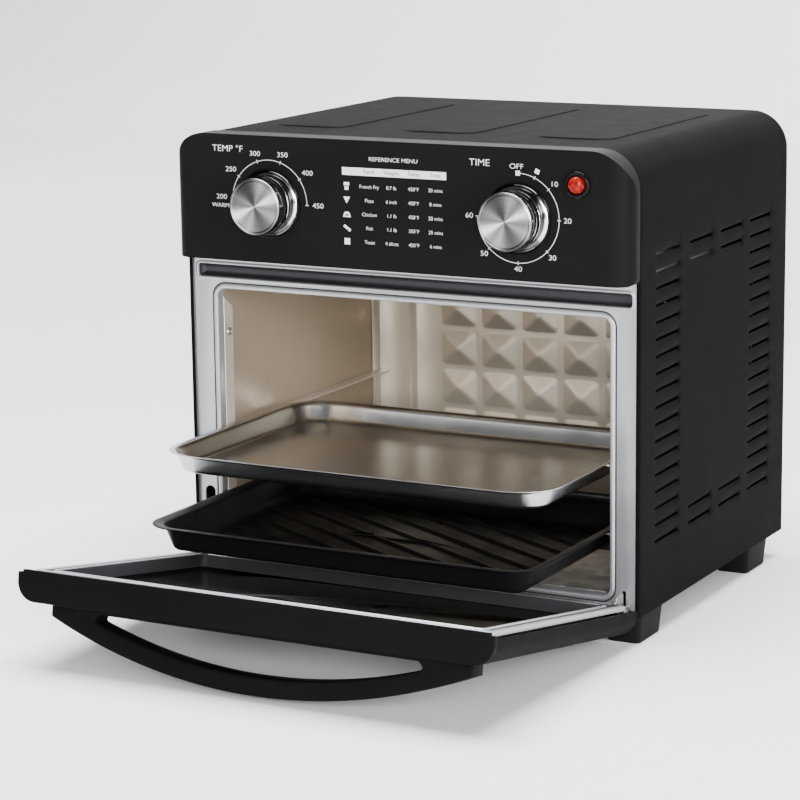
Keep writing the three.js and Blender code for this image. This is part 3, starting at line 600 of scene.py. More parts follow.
def make_camera():
    azimuth, elevation = CAMERA_AZIMUTH, CAMERA_ELEVATION
    back = Vector((math.sin(azimuth) * math.cos(elevation), -math.cos(azimuth) * math.cos(elevation),
                   math.sin(elevation)))
    level = (-back).cross(Vector((0, 0, 1))).normalized()
    raised = level.cross(-back)
    right = level * math.cos(CAMERA_ROLL) + raised * math.sin(CAMERA_ROLL)
    up = raised * math.cos(CAMERA_ROLL) - level * math.sin(CAMERA_ROLL)
    place = right * AIM_RIGHT + up * AIM_UP + back * CAMERA_DISTANCE
    data = bpy.data.cameras.new("camera")
    data.lens = CAMERA_FOCAL
    data.sensor_width = SENSOR_WIDTH
    camera = bpy.data.objects.new("camera", data)
    camera.matrix_world = Matrix.Translation(TO_ROW @ place) @ Matrix((right, up, back)).transposed().to_4x4()
    bpy.context.scene.collection.objects.link(camera)
    bpy.context.scene.camera = camera


WORLD_LIGHT = 0.18
LIGHTS = (  # name, place and target in metres, width, height, watts
    ("overhead", (0.0, 0.0, 2.1), (0, 0, 0.1), 1.9, 1.5, 150),
    ("front_left", (-1.1, -2.3, 0.8), (0, 0, 0.15), 1.0, 0.9, 10),
    ("front_right", (1.3, -2.4, 0.9), (0, 0.1, 0.15), 1.1, 0.8, 78),
    ("right", (2.1, -1.1, 0.6), (0, 0, 0.25), 0.45, 1.1, 50),
    ("rear_left", (-2.4, 1.3, 0.8), (0, 0.2, 0.15), 1.0, 0.8, 22),
    ("backdrop", (0.0, 2.5, 2.9), (0, 4.6, 1.4), 6.0, 0.9, 330),
)
PAPER_HALF = 12000
PAPER_FRONT = -6000
PAPER_REAR = 4600  # behind any camera that goes round the oven
PAPER_BEND = 1300
PAPER_HEIGHT = 5000


def area_light(name, place, target, width, height, power):
    data = bpy.data.lights.new(name, "AREA")
    data.shape = "RECTANGLE"
    data.size = width
    data.size_y = height
    data.energy = power
    lamp = bpy.data.objects.new(name, data)
    lamp.location = place
    lamp.rotation_euler = (Vector(target) - Vector(place)).to_track_quat("-Z", "Y").to_euler()
    bpy.context.scene.collection.objects.link(lamp)


def make_studio():
    world = bpy.data.worlds.new("studio")
    bpy.context.scene.world = world
    world.use_nodes = True
    world.node_tree.nodes["Background"].inputs["Color"].default_value = (1, 1, 1, 1)
    world.node_tree.nodes["Background"].inputs["Strength"].default_value = WORLD_LIGHT
    for light in LIGHTS:
        area_light(*light)
    paper = Surface("paper", (0.92, 0.92, 0.92), 0.9, Specular_IOR_Level=0.1)
    paper.bump(paper.noise(300, 3), 0.05)
    start = PAPER_REAR - PAPER_BEND
    profile = [(PAPER_FRONT, 0), (start, 0)]
    for step in range(1, 25):
        a = math.radians(90 * step / 24)
        profile.append((start + PAPER_BEND * math.sin(a), PAPER_BEND - PAPER_BEND * math.cos(a)))
    profile.append((PAPER_REAR, PAPER_HEIGHT))
    points = [(x, y, z) for x in (-PAPER_HALF, PAPER_HALF) for y, z in profile]
    floor = linked("floor", from_data("floor", points, grid(2, len(profile))))
    floor.data.materials.append(paper.material)
    floor.data.shade_smooth()


make_camera()
make_studio()

# ---- casing ----


def smooth_step(value):
    value = min(max(value, 0), 1)
    return value * value * (3 - 2 * value)


SIDE_LENGTH = SKIN_TOP - SHOULDER - CASE_BOTTOM
ARC_LENGTH = SHOULDER * math.pi / 2
TOP_LENGTH = 2 * (HALF_WIDTH - SHOULDER)
PAD_PITCH = 106
PAD_HALF = 30
PAD_FRONT = 46
PAD_BACK = 238
PAD_CORNER = 14
PAD_STEP = 1.3
PAD_LINES = (-0.8, 0, 0.45, 0.85, PAD_STEP, 2.4, 5, 8, 11, PAD_CORNER)  # how far in from a pad's edge


def casing_point(s):
    """The casing's outside at distance s along its section from the left foot: x, z and the outward normal."""
    length = 2 * SIDE_LENGTH + 2 * ARC_LENGTH + TOP_LENGTH
    if s > length / 2:
        x, z, nx, nz = casing_point(length - s)
        return -x, z, -nx, nz
    if s <= SIDE_LENGTH:
        return -HALF_WIDTH, CASE_BOTTOM + s, -1, 0
    if s <= SIDE_LENGTH + ARC_LENGTH:
        a = (s - SIDE_LENGTH) / SHOULDER
        nx, nz = -math.cos(a), math.sin(a)
        return -HALF_WIDTH + SHOULDER * (1 + nx), SKIN_TOP - SHOULDER * (1 - nz), nx, nz
    return -HALF_WIDTH + SHOULDER + s - SIDE_LENGTH - ARC_LENGTH, SKIN_TOP, 0, 1


def louvre_dent(y, z):
    """How far the side is pressed in at a point; deepest at the rear end of each louvre."""
    row = min(range(len(LOUVRE_ROWS)), key=lambda n: abs(LOUVRE_ROWS[n] - z))
    for column, start in enumerate(LOUVRE_COLUMNS):
        if not louvre_here(column, row):
            continue
        near = min(max(y, start + 2), start + LOUVRE_LENGTH - 2)
        away = math.hypot(y - near, z - LOUVRE_ROWS[row])
        if away < DENT_REACH:
            return (0.5 + 1.1 * (near - start) / LOUVRE_LENGTH) * (1 + math.cos(math.pi * away / DENT_REACH)) / 2
    return 0


def louvre_here(column, row):
    return column in (0, len(LOUVRE_COLUMNS) - 1) or row < 2 or row >= len(LOUVRE_ROWS) - 2


def pad_height(x, y):
    """The three long panels pressed up out of the top."""
    centre = max(-1, min(1, round(x / PAD_PITCH))) * PAD_PITCH
    middle = (PAD_FRONT + PAD_BACK) / 2
    dx = abs(x - centre) - PAD_HALF + PAD_CORNER
    dy = abs(y - middle) - (PAD_BACK - PAD_FRONT) / 2 + PAD_CORNER
    outside = math.hypot(max(dx, 0), max(dy, 0)) + min(max(dx, dy), 0) - PAD_CORNER
    return PAD_RISE * smooth_step(-outside / PAD_STEP)


def section_lines():
    """Distances along the casing's section where the sheet has a line of vertices."""
    side = {0.0, 0.5, 2.0, SIDE_LENGTH}
    for z in LOUVRE_ROWS:
        side.update(z - CASE_BOTTOM + d for d in (-DENT_REACH, -3.1, -LOUVRE_HALF, LOUVRE_HALF, 3.1, DENT_REACH))
    arc = {SIDE_LENGTH + ARC_LENGTH * n / 12 for n in range(1, 13)}
    top = set()
    start = SIDE_LENGTH + ARC_LENGTH + HALF_WIDTH - SHOULDER
    for centre in (-PAD_PITCH, 0):
        for sign in (-1, 1):
            for d in PAD_LINES:
                s = start + centre + sign * (PAD_HALF - d)
                if s <= start:
                    top.add(s)
    half = sorted(side | arc | top | {start})
    return half + [2 * start - s for s in reversed(half[:-1])]


def depth_lines():
    lines = {LIP_FRONT + 1.6, DEPTH - 2.0, DEPTH - 0.5, DEPTH}
    for start in LOUVRE_COLUMNS:
        for d in (-3, -1.2, 0, 1.2, 3, 8):
            lines.update((start + d, start + LOUVRE_LENGTH - d))
        lines.add(start + LOUVRE_LENGTH / 2)
    for d in PAD_LINES:
        lines.update((PAD_FRONT + d, PAD_BACK - d))
    kept = []
    for y in sorted(lines):
        near_slot = any(abs(y - edge) < 1e-6 for start in LOUVRE_COLUMNS for edge in (start, start + LOUVRE_LENGTH))
        if kept and y - kept[-1] < 0.35 and not near_slot:
            continue
        kept.append(y)
    return kept


def make_casing():
    across = section_lines()
    along = [(y, 0.0) for y in depth_lines()]
    fold = [(LIP_FRONT, LIP_WIDTH), (LIP_FRONT, 1.4), (LIP_FRONT + 0.25, 0.45), (LIP_FRONT + 0.8, 0.08)]
    along = fold + along
    points = []
    for s in across:
        x, z, nx, nz = casing_point(s)
        for y, inset in along:
            if abs(nx) == 1:
                inset += louvre_dent(y, z)
            elif nz == 1:
                inset -= pad_height(x, y)
            points.append((x - nx * inset, y, z - nz * inset))
    faces = []
    count = len(along)
    for i in range(len(across) - 1):
        for j in range(count - 1):
            x, z, nx, _ = casing_point((across[i] + across[i + 1]) / 2)
            y = (along[j][0] + along[j + 1][0]) / 2
            if abs(nx) == 1 and in_slot(y, z):
                continue
            faces.append((i * count + j, i * count + j + 1, (i + 1) * count + j + 1, (i + 1) * count + j))
    casing = linked("casing_wrap", from_data("casing_wrap", points, faces))
    thickened(casing, 0.9)
    rounder = casing.modifiers.new("smooth", "SUBSURF")
    rounder.levels = rounder.render_levels = 1
    fitted(casing, "cabinet", "black_paint", BLACK_PAINT, "outer_wrap")
    return smoothed(casing, 50)


def in_slot(y, z):
    row = min(range(len(LOUVRE_ROWS)), key=lambda n: abs(LOUVRE_ROWS[n] - z))
    if abs(LOUVRE_ROWS[row] - z) > LOUVRE_HALF:
        return False
    return any(start < y < start + LOUVRE_LENGTH and louvre_here(column, row)
               for column, start in enumerate(LOUVRE_COLUMNS))


CRUMB_EXIT = (-154, 25, 154, 37)
BACK_SLOT_HALF = 22
BACK_SLOT_PITCH = 60


def make_back():
    low, high = mm_box("back_panel")
    outline = rounded(low.x, low.z, high.x, high.z, [0.5, 0.5, SHOULDER - 2, SHOULDER - 2], 12)
    holes = [rounded(*CRUMB_EXIT, 1, 3)]
    for row in range(5):
        for n in range(-2, 3):
            z = 270 + row * 12
            x = n * BACK_SLOT_PITCH
            holes.append(rounded(x - BACK_SLOT_HALF, z, x + BACK_SLOT_HALF, z + 4, 2, 4))
    panel = flat_plate("back_sheet", outline, holes, low.y, high.y, 0.3)
    fitted(panel, "cabinet", "black_paint", BLACK_PAINT, "back_panel")
    heads = []
    for x in (-165, -60, 60, 165):
        for z in (52, 258):
            if abs(x) < 100 and z < 100:
                z = 44
            heads.append(screw_head(f"head_{x}_{z}", x, high.y + 0.2, z, 3.1, 1))
    screws = joined("back_screws", heads)
    fitted(screws, "cabinet", "galvanised", ZINC, smooth=40)


def screw_head(name, x, y, z, radius, side):
    """A domed cross-recess head whose flat lies on y; side is the way it faces."""
    profile = [(0.01, y - side * 0.4), (radius * 0.5, y - side * 0.4), (radius, y), (radius, y + side * 0.25)]
    for step in range(1, 7):
        a = math.radians(75 * step / 6)
        profile.append((radius * math.cos(a), y + side * (0.25 + radius * 0.42 * math.sin(a))))
    profile.append((0.01, profile[-1][1] - side * radius * 0.28))
    return lathed(name, profile, x, z, 28)


def make_feet():
    for name in ("front_left", "front_right", "rear_left", "rear_right"):
        low, high = mm_box(f"foot_{name}")
        taper = 1.5
        foot = (low.x + taper, low.y + taper, high.x - taper, high.y - taper)
        levels = [(1.4, 0), (0.5, 0.3), (0.1, 1.0), (0, 1.8), (-0.7, 11), (-taper, high.z - 1), (-taper, high.z)]
        rings = []
        for inset, z in levels:
            ring = rounded(*grown(foot, -inset), 3.2, 6)
            rings.append([(x, y, z) for x, y in ring])
        foot = skinned(f"foot_{name}_moulded", rings, cap_first=True, cap_last=True)
        fitted(foot, "cabinet", "black_plastic", RUBBER, f"foot_{name}", smooth=45)


# ---- control panel ----


def panel_front(x):
    """How far forward the panel's face is: flat, with its sides rounded back."""
    over = abs(x) - (PANEL_HIGH.x - PANEL_EDGE)
    if over <= 0:
        return PANEL_FRONT
    return PANEL_FRONT + PANEL_EDGE - math.sqrt(max(PANEL_EDGE ** 2 - over ** 2, 0))


def panel_half(z):
    """Half the panel's width at a height, narrowed by its rounded top and bottom corners."""
    half = PANEL_HIGH.x
    above = z - (PANEL_HIGH.z - SHOULDER)
    if above > 0:
        return half - SHOULDER + math.sqrt(max(SHOULDER ** 2 - above ** 2, 0))
    below = PANEL_LOW.z + PANEL_LOW_CORNER - z
    if below > 0:
        return half - PANEL_LOW_CORNER + math.sqrt(max(PANEL_LOW_CORNER ** 2 - below ** 2, 0))
    return half


def make_panel():
    back = PANEL_HIGH.y
    fractions = [0, 0.25, 0.5, 0.75]
    edge = PANEL_EDGE / PANEL_HIGH.x
    fractions += [1 - edge + edge * math.sin(math.radians(90 * step / 14)) for step in range(15)]
    heights = [PANEL_LOW.z + PANEL_LOW_CORNER * (1 - math.cos(math.radians(90 * step / 5))) for step in range(6)]
    heights += [PANEL_LOW.z + (PANEL_HIGH.z - SHOULDER - PANEL_LOW.z) * t for t in (0.2, 0.4, 0.6, 0.8, 1)]
    heights += [PANEL_HIGH.z - SHOULDER * (1 - math.sin(math.radians(90 * step / 16))) for step in range(1, 17)]
    rows = []
    for z in heights:
        half = panel_half(z)
        right = [(half * t, panel_front(half * t), z) for t in fractions]
        right += [(half, y, z) for y in between_depths(panel_front(half), back)]
        left = [(-x, y, z) for x, y, z in reversed(right[1:])]
        rows.append(left + right)
    lid = [(x, back, PANEL_HIGH.z) for x, _, _ in rows[-1]]
    floor = [(x, back, PANEL_LOW.z) for x, _, _ in rows[0]]
    rows = [floor] + rows + [lid]
    points = [p for row in rows for p in row]
    panel = linked("control_fascia", from_data("control_fascia", points, grid(len(rows), len(rows[0]))))
    thickened(panel, 2.2)
    softened(panel, 1.1, 3, 35)
    fitted(panel, "cabinet", "gloss_black_plastic", PANEL_PLASTIC, "control_panel", smooth=40)


def between_depths(front, back):
    return [front + (back - front) * t for t in (0.2, 0.5, 0.8, 1)]


TEMPERATURE_X, _, KNOB_Z = middle(*mm_box("temperature_dial_ring"))
TIMER_X = middle(*mm_box("timer_dial_ring"))[0]
SCALE_RADIUS = 30.8
LABEL_SIZE = 5.1
PRINT_BACK = PANEL_FRONT - 0.01
PRINT_FRONT = PANEL_FRONT - 0.06


def print_shape(points):
    """A flat printed patch on the panel's face; points run round it in x and z."""
    rings = [[(x, y, z) for x, z in points] for y in (PRINT_BACK, PRINT_FRONT)]
    return skinned("patch", rings, cap_first=True, cap_last=True)


def print_bar(x, z, width, height, angle=0.0):
    c, s = math.cos(angle), math.sin(angle)
    corners = [(-width / 2, -height / 2), (width / 2, -height / 2), (width / 2, height / 2), (-width / 2, height / 2)]
    return print_shape([(x + u * c - v * s, z + u * s + v * c) for u, v in corners])


def print_arc(x, z, radius, width, start, end):
    steps = max(8, round(abs(end - start) / 3))
    angles = [math.radians(start + (end - start) * n / steps) for n in range(steps + 1)]
    outer = [(x + (radius + width / 2) * math.cos(a), z + (radius + width / 2) * math.sin(a)) for a in angles]
    inner = [(x + (radius - width / 2) * math.cos(a), z + (radius - width / 2) * math.sin(a)) for a in angles]
    strips = []
    for n in range(steps):
        strips.append(print_shape([outer[n], outer[n + 1], inner[n + 1], inner[n]]))
    return strips


def print_text(text, x, z, size, stretch=1.0, lift=0.0, weight=-0.012):
    """Words centred on a point of the panel's face, widened by stretch and lifted off it to lie on other print."""
    curve = bpy.data.curves.new(text, "FONT")
    curve.body = text
    curve.size = size * MM
    curve.align_x = "CENTER"
    curve.align_y = "CENTER"
    curve.extrude = (PRINT_BACK - PRINT_FRONT) / 2 * MM
    curve.offset = weight * size * MM
    obj = applied(linked("text", curve))
    place = Matrix.Translation((x, (PRINT_BACK + PRINT_FRONT) / 2 - lift, z))
    upright = Matrix.Rotation(math.radians(90), 4, "X")
    obj.data.transform(TO_ROW @ place @ upright @ Matrix.Diagonal((stretch / MM, 1 / MM, 1 / MM, 1)))
    return obj


def print_scale(x, marks, start, end, label_radius, side_room):
    """A dial's printed arc, with a tick and a number at each mark; side_room moves the side numbers out."""
    pieces = print_arc(x, KNOB_Z, SCALE_RADIUS, 0.38, start, end)
    for angle, label in marks:
        c, s = math.cos(math.radians(angle)), math.sin(math.radians(angle))
        pieces.append(print_bar(x + SCALE_RADIUS * c, KNOB_Z + SCALE_RADIUS * s, 2.6, 0.45, math.radians(angle)))
        far = label_radius + side_room * abs(c)
        pieces.append(print_text(label, x + far * c, KNOB_Z + far * s, LABEL_SIZE, 1.2))
    return pieces


def menu_icons(x, z, step):
    """Plain marks beside the menu's rows: a dish, a wedge, a dome, a fin and a slice."""
    dish = [print_bar(x, z + 1.6, 4.2, 2.2), print_bar(x, z - 1.4, 3, 2.6)]
    wedge = [print_shape([(x - 2.6, z - step + 2.2), (x + 2.6, z - step + 2.2), (x, z - step - 2.4)][::-1])]
    dome = print_arc(x, z - 2 * step - 1.2, 1.9, 1.6, 0, 180) + [print_bar(x, z - 2 * step - 1.9, 6, 0.9)]
    fin = [print_bar(x - 0.4, z - 3 * step, 5, 1.9, math.radians(-35)),
           print_bar(x + 1.9, z - 3 * step - 1.6, 2, 2, 0.3)]
    slice_ = [print_bar(x, z - 4 * step, 4.4, 4.4)]
    return dish + wedge + dome + fin + slice_


MENU_TOP = 313.5
MENU_STEP = 9.75
MENU_HEADER_Z = 324
MENU_COLUMNS = (-17, 0.5, 18, 35)
MENU = (
    ("French Fry", "0.7 lb", "450°F", "20 mins"),
    ("Pizza", "6 inch", "400°F", "8 mins"),
    ("Chicken", "1.1 lb", "450°F", "20 mins"),
    ("Fish", "1.1 lb", "350°F", "25 mins"),
    ("Toast", "4 slices", "450°F", "6 mins"),
)


def make_print():
    temperatures = [(0, "450"), (36, "400"), (72, "350"), (108, "300"), (144, "250"), (176, "200")]
    minutes = [(42, "10"), (0, "20"), (-45, "30"), (-90, "40"), (-135, "50"), (-180, "60")]
    pieces = print_scale(TEMPERATURE_X, temperatures, 0, 180, 35.2, 4.6)
    pieces += print_scale(TIMER_X, minutes, -180, 90, 35.0, 2.0)
    mark = math.radians(66)  # the small plain mark between OFF and 10
    c, up = math.cos(mark), math.sin(mark)
    pieces += [
        print_text("WARM", TEMPERATURE_X - 40.6, KNOB_Z - 3.4, 4.3, 1.1),
        print_text("TEMP °F", -132, 335.5, 6.6, 1.1),
        print_text("TIME", 69, 334.6, 6.8, 1.1),
        print_text("OFF", TIMER_X - 1, KNOB_Z + 35.2, LABEL_SIZE, 1.2),
        print_bar(TIMER_X, KNOB_Z + SCALE_RADIUS, 3.3, 3.3),
        print_bar(TIMER_X + SCALE_RADIUS * c, KNOB_Z + SCALE_RADIUS * up, 2.6, 0.55, mark),
        print_bar(TIMER_X + 35.6 * c, KNOB_Z + 35.6 * up, 3.2, 3.4, mark),
        print_bar(2.5, MENU_HEADER_Z, 81.8, 5.4),
        print_text("REFERENCE MENU", 2.2, 333, 4.1, 1.15),
    ]
    pieces += menu_icons(-35, MENU_TOP, MENU_STEP)
    for row, words in enumerate(MENU):
        for x, word in zip(MENU_COLUMNS, words):
            pieces.append(print_text(word, x, MENU_TOP - row * MENU_STEP, 3.6))
    sheet = joined("panel_print", pieces)
    fitted(sheet, "cabinet", "gloss_black_plastic", PRINT)
    headings = [print_text(word, x, MENU_HEADER_Z, 3.9, 1.05, 0.07, 0.004)
                for x, word in zip(MENU_COLUMNS, ("Food", "Weight", "Temp", "Time"))]
    fitted(joined("panel_headings", headings), "cabinet", "gloss_black_plastic", INK)


KNOB_RIM = -34.4  # where the bright cap meets the black body
KNOB_LINE = -30.4  # the bright line inlaid round the body


def make_dial(name, x, pointer, face_material):
    low, high = mm_box(f"{name}_dial_ring")
    ring_back, ring_front = high.y, low.y
    ring = lathed(f"{name}_base_ring", [
        (15, ring_back), (15, ring_front), (21.6, ring_front), (22.2, ring_front + 0.15), (23.2, ring_front + 0.8),
        (23.6, ring_front + 1.5), (23.7, ring_back), (15, ring_back)], x, KNOB_Z, 128)
    collar = lathed(f"{name}_collar", [
        (23.75, ring_back), (23.75, ring_front + 1.3), (24.2, ring_front + 1.1), (24.8, ring_front + 1.4),
        (25, ring_front + 1.9), (25, ring_back), (23.75, ring_back)], x, KNOB_Z, 128)
    # This chrome has its highlight and dark reflection painted on; it goes on the ring, the inlay and the knob cap's
    # sides.
    chrome = painted_glint_chrome(f"chrome_{name}", x, KNOB_Z)
    ring.data.materials.append(chrome)
    collar.data.materials.append(GLOSS_PLASTIC)
    whole = joined(f"{name}_ring_and_collar", [ring, collar])
    fitted(whole, "cabinet", "chrome", None, f"{name}_dial_ring", smooth=40)
    knob_low, knob_high = mm_box(f"{name}_knob")
    back = knob_high.y
    rim, line = KNOB_RIM, KNOB_LINE
    body = lathed(f"{name}_knob_body", [
        (4, back), (20.2, back), (20.55, back - 0.3), (20.6, back - 0.9), (20.6, line + 0.6), (20.3, line + 0.45),
        (20.3, line - 0.45), (20.55, line - 0.6), (20.45, rim + 0.3), (20.1, rim), (4, rim), (4, back)],
        x, KNOB_Z, 128)
    fitted(body, f"{name}_dial", "gloss_black_plastic", GLOSS_PLASTIC, f"{name}_knob", smooth=30)
    inlay = lathed(f"{name}_knob_inlay", [
        (20.32, line + 0.4), (20.55, line + 0.3), (20.6, line), (20.55, line - 0.3), (20.32, line - 0.4),
        (20.32, line + 0.4)], x, KNOB_Z, 128)
    fitted(inlay, f"{name}_dial", "chrome", chrome, smooth=60)
    face_low, _ = mm_box(f"{name}_knob_face")
    front = face_low.y
    cap = [(0.01, front + 0.5), (17.4, front + 0.5), (17.7, front + 0.62), (17.9, front + 0.9), (18.1, front + 0.9),
           (18.3, front + 0.5), (18.6, front + 0.1), (19.0, front), (19.5, front + 0.15), (20.0, front + 0.6),
           (20.2, front + 1.2), (20.3, rim - 0.6), (20.2, rim - 0.2), (19.9, rim - 0.1), (0.01, rim - 0.1)]
    face = lathed(f"{name}_knob_cap", cap, x, KNOB_Z, 160)
    a = math.radians(pointer)
    groove = linked("groove", bpy.data.meshes.new("groove"))
    shape = bmesh.new()
    bmesh.ops.create_cube(shape, size=1)
    shape.to_mesh(groove.data)
    shape.free()
    groove.data.transform(TO_ROW @ Matrix.Translation((x, front, KNOB_Z)) @ Matrix.Rotation(-a, 4, "Y")
                          @ Matrix.Translation((13.7, 0, 0)) @ Matrix.Diagonal((5.4, 2.2, 1.5, 1)))
    softened(groove, 0.25, 2)
    difference(face, [groove])
    fitted(face, f"{name}_dial", "aluminium", face_material, f"{name}_knob_face")
    face.data.materials.append(chrome)
    for side in face.data.polygons:
        side.material_index = int(abs(side.normal.y) < 0.5 and side.center.y / MM - ROW_Y > front + 1)
    smoothed(face, 30)
    frame["nodes"][f"{name}_shaft"].data.materials.clear()
    frame["nodes"][f"{name}_shaft"].data.materials.append(HOT_STEEL)


def make_lamp():
    low, high = mm_box("lamp_bezel")
    x, _, z = middle(low, high)
    bezel = lathed("lamp_surround", [
        (6.3, high.y), (6.3, low.y + 1.6), (7.0, low.y + 0.3), (7.8, low.y), (8.7, low.y + 0.2), (9.3, low.y + 0.8),
        (9.6, low.y + 1.8), (9.6, high.y), (6.3, high.y)], x, z, 80)
    fitted(bezel, "cabinet", "gloss_black_plastic", GLOSS_PLASTIC, "lamp_bezel", smooth=40)
    low, high = mm_box("lamp_lens")
    front = low.y
    rings = []
    for radius, y, twist in ((5.8, high.y, 0), (5.8, front + 2.9, 0), (5.0, front + 1.2, 0.5), (3.3, front + 0.4, 0),
                             (1.5, front, 0.5)):
        rings.append([(x + radius * math.cos(2 * math.pi * (n + twist) / 12), y,
                       z + radius * math.sin(2 * math.pi * (n + twist) / 12)) for n in range(12)])
    lens = skinned("lamp_jewel", rings, cap_first=True, cap_last=True)
    softened(lens, 0.12, 2, 5)
    fitted(lens, "cabinet", "red_lens", LAMP_RED, "lamp_lens")


# ---- front frame ----


def bead(name, rect, radius, section, steps=10):
    """A pressed bead round an opening; the section holds (distance outside the opening, y)."""
    rings = [[(x, y, z) for x, z in rounded(*grown(rect, out), max(radius + out, 0.3), steps)] for out, y in section]
    return skinned(name, rings, close_section=True)


LEFT_SLOT = (-172, 21.8, -163.5, 80)
RIGHT_SLOT = (166.2, 21.8, 169, 38.6)


def make_front_frame():
    low, high = mm_box("front_frame")
    sheet = 1.5
    face = flat_plate(
        "frame_face",
        rounded(low.x, low.z, high.x, high.z, [2, 2, 26, 26], 12),
        [rounded(*grown(WINDOW, 5), WINDOW_RADIUS + 5, 10),
         rounded(*grown(CHANNEL, 2.4), CHANNEL_CORNER + 2.4, 10),
         rounded(*LEFT_SLOT, [0.5, 0.5, 4, 4], 6),
         rounded(*RIGHT_SLOT, [0.5, 0.5, 1.2, 1.2], 4)],
        0, sheet, 0.2)
    window_bead = bead("window_bead", WINDOW, WINDOW_RADIUS, [
        (5.15, 0.05), (4.9, 0.25), (4.55, 0.62), (4.15, 0.62), (3.8, 0.2), (3.4, -0.45), (2.8, -0.8), (2.1, -0.9),
        (1.2, -0.88), (0.5, -0.6), (0.1, 0.0), (0, 0.8), (0, 6.9), (1.1, 6.9), (1.2, 1.6), (5.15, sheet)])
    channel_bead = bead("channel_bead", CHANNEL, CHANNEL_CORNER, [
        (2.5, 0.05), (2.1, 0.0), (1.5, -0.45), (0.9, -0.7), (0.4, -0.6), (0.05, -0.1), (0, 0.6), (0, 2.2),
        (0.8, 2.2), (1.0, sheet), (2.5, sheet)])
    smoothed(window_bead, 60)
    smoothed(channel_bead, 60)
    whole = joined("silver_front", [face, window_bead, channel_bead])
    fitted(whole, "cabinet", "silver_paint", SILVER, "front_frame")
    # Painted shade: faces in the grooves beside the beads, and the plate's edges, take the dark grey.
    whole.data.materials.append(PAINTED_SHADE_GREY)
    for part in whole.data.polygons:
        part.material_index = int(0.3 < part.center.y / MM - ROW_Y < 1.2 and abs(part.normal.y) > 0.2)
    # The trough behind the channel takes the steel darkened as painted shade.
    trough = []
    for inset, y in ((-1.6, 2.1), (0.05, 2.0), (0.2, 3.2), (0.9, 4.6), (2.2, 5.7), (3.4, 6.2)):
        ring = rounded(*grown(CHANNEL, -inset), max(CHANNEL_CORNER - inset, 0.5), 10)
        trough.append([(x, y, z) for x, z in ring])
    vent = skinned("vent_trough", trough, cap_last=True)
    thickened(vent, 0.6, 1)
    fitted(vent, "cabinet", "galvanised", SHADED_CHANNEL_STEEL, "vent_channel", smooth=60)


# ---- cavity ----


BACK_SHEET = 1.2
PYRAMID_WIDTH = 30
PYRAMID_TALL = 27
PYRAMID_PITCH = 36
PYRAMID_ROWS = [82, 114, 146, 178, 210]
FOLD_TOP = 239.4
# The back's upright folds beside the corners: distance from the middle and how far forward the sheet stands.
BACK_CORNER = [(124.6, 0), (126.9, 2.9), (127.4, 3), (134.8, 0), (135.1, 2.4), (141.6, 2.4), (142, 1.2), (142.4, 2),
               (145, 2.2), (148, 2.9), (151, 4), (154, 5.5), (156.5, 7), (158.4, 8.4), (158.7, 0)]


def corner_rise(away):
    """How far forward the back stands at a distance from the middle: folds, then a curve up to the side wall."""
    for (near, low), (far, high) in zip(BACK_CORNER, BACK_CORNER[1:]):
        if near <= away <= far:
            return low + (high - low) * (away - near) / (far - near)
    return 0


def back_lines(low, high, centres, half):
    """Grid lines over the cavity back: fine over the pressed pyramids, with one on every fold."""
    lines = {low, high}
    for centre in centres:
        lines.update(centre - half + 2 * half * n / 20 for n in range(21))
        lines.update((centre - half - 0.6, centre - half + 0.5, centre + half - 0.5, centre + half + 0.6))
    return sorted(lines)


def make_cavity():
    # The walls take the darker stainless as painted shade, the guides and the back the lighter ones as painted light.
    for node in ("cavity_left_wall", "cavity_right_wall", "cavity_ceiling", "cavity_floor", "fan_guard"):
        wall = refined(node, "cabinet", "stainless", SHADED_CAVITY_STEEL, 0.25)
        if node.endswith("wall"):
            # Painted shade: the walls' outer faces, inside the casing, take the near-black paint.
            wall.data.materials.append(CAVITY_OUTSIDE_SHADE)
            for face in wall.data.polygons:
                face.material_index = int(face.normal.x * face.center.x > 0.01)
    for side in ("left", "right"):
        refined(f"rack_guide_{side}", "cabinet", "stainless", LIT_GUIDE_STEEL, 0.35)
    low, high = mm_box("cavity_back")
    height = high.y - low.y - BACK_SHEET
    sheet_y = high.y - BACK_SHEET
    across = back_lines(low.x, high.x, [(n - 2.5) * PYRAMID_PITCH for n in range(6)], PYRAMID_WIDTH / 2)
    across = sorted(across + [sign * x for sign in (-1, 1) for x, _ in BACK_CORNER])
    upward = sorted(back_lines(low.z, high.z, PYRAMID_ROWS, PYRAMID_TALL / 2) + [236, 238.6, FOLD_TOP])
    points = []
    for z in upward:
        for x in across:
            column = min(max(round(x / PYRAMID_PITCH + 2.5), 0), 5) - 2.5
            centre_z = min(PYRAMID_ROWS, key=lambda row: abs(row - z))
            u = abs(x - column * PYRAMID_PITCH) / (PYRAMID_WIDTH / 2)
            v = abs(z - centre_z) / (PYRAMID_TALL / 2)
            rise = 1 - (u ** 10 + v ** 10) ** 0.1
            rise = max(rise + 0.02, 0) if rise > -0.02 else 0
            lift = height * min(rise, 0.94) + corner_rise(abs(x)) * smooth_step((FOLD_TOP - z) / 0.8)
            points.append((x, sheet_y - lift, z))
    back = linked("cavity_back_pressed", from_data("cavity_back_pressed", points, grid(len(upward), len(across))))
    thickened(back, 0.8)
    fitted(back, "cabinet", "stainless", LIT_BACK_STEEL, "cavity_back", smooth=60)
    for level in ("upper", "lower"):
        for side, sign in (("left", -1), ("right", 1)):
            make_guide_screw(f"guide_screw_{level}_{side}", sign)
    for level in ("lower", "upper"):
        for place in ("front", "rear"):
            make_heater(f"heater_{level}_{place}")


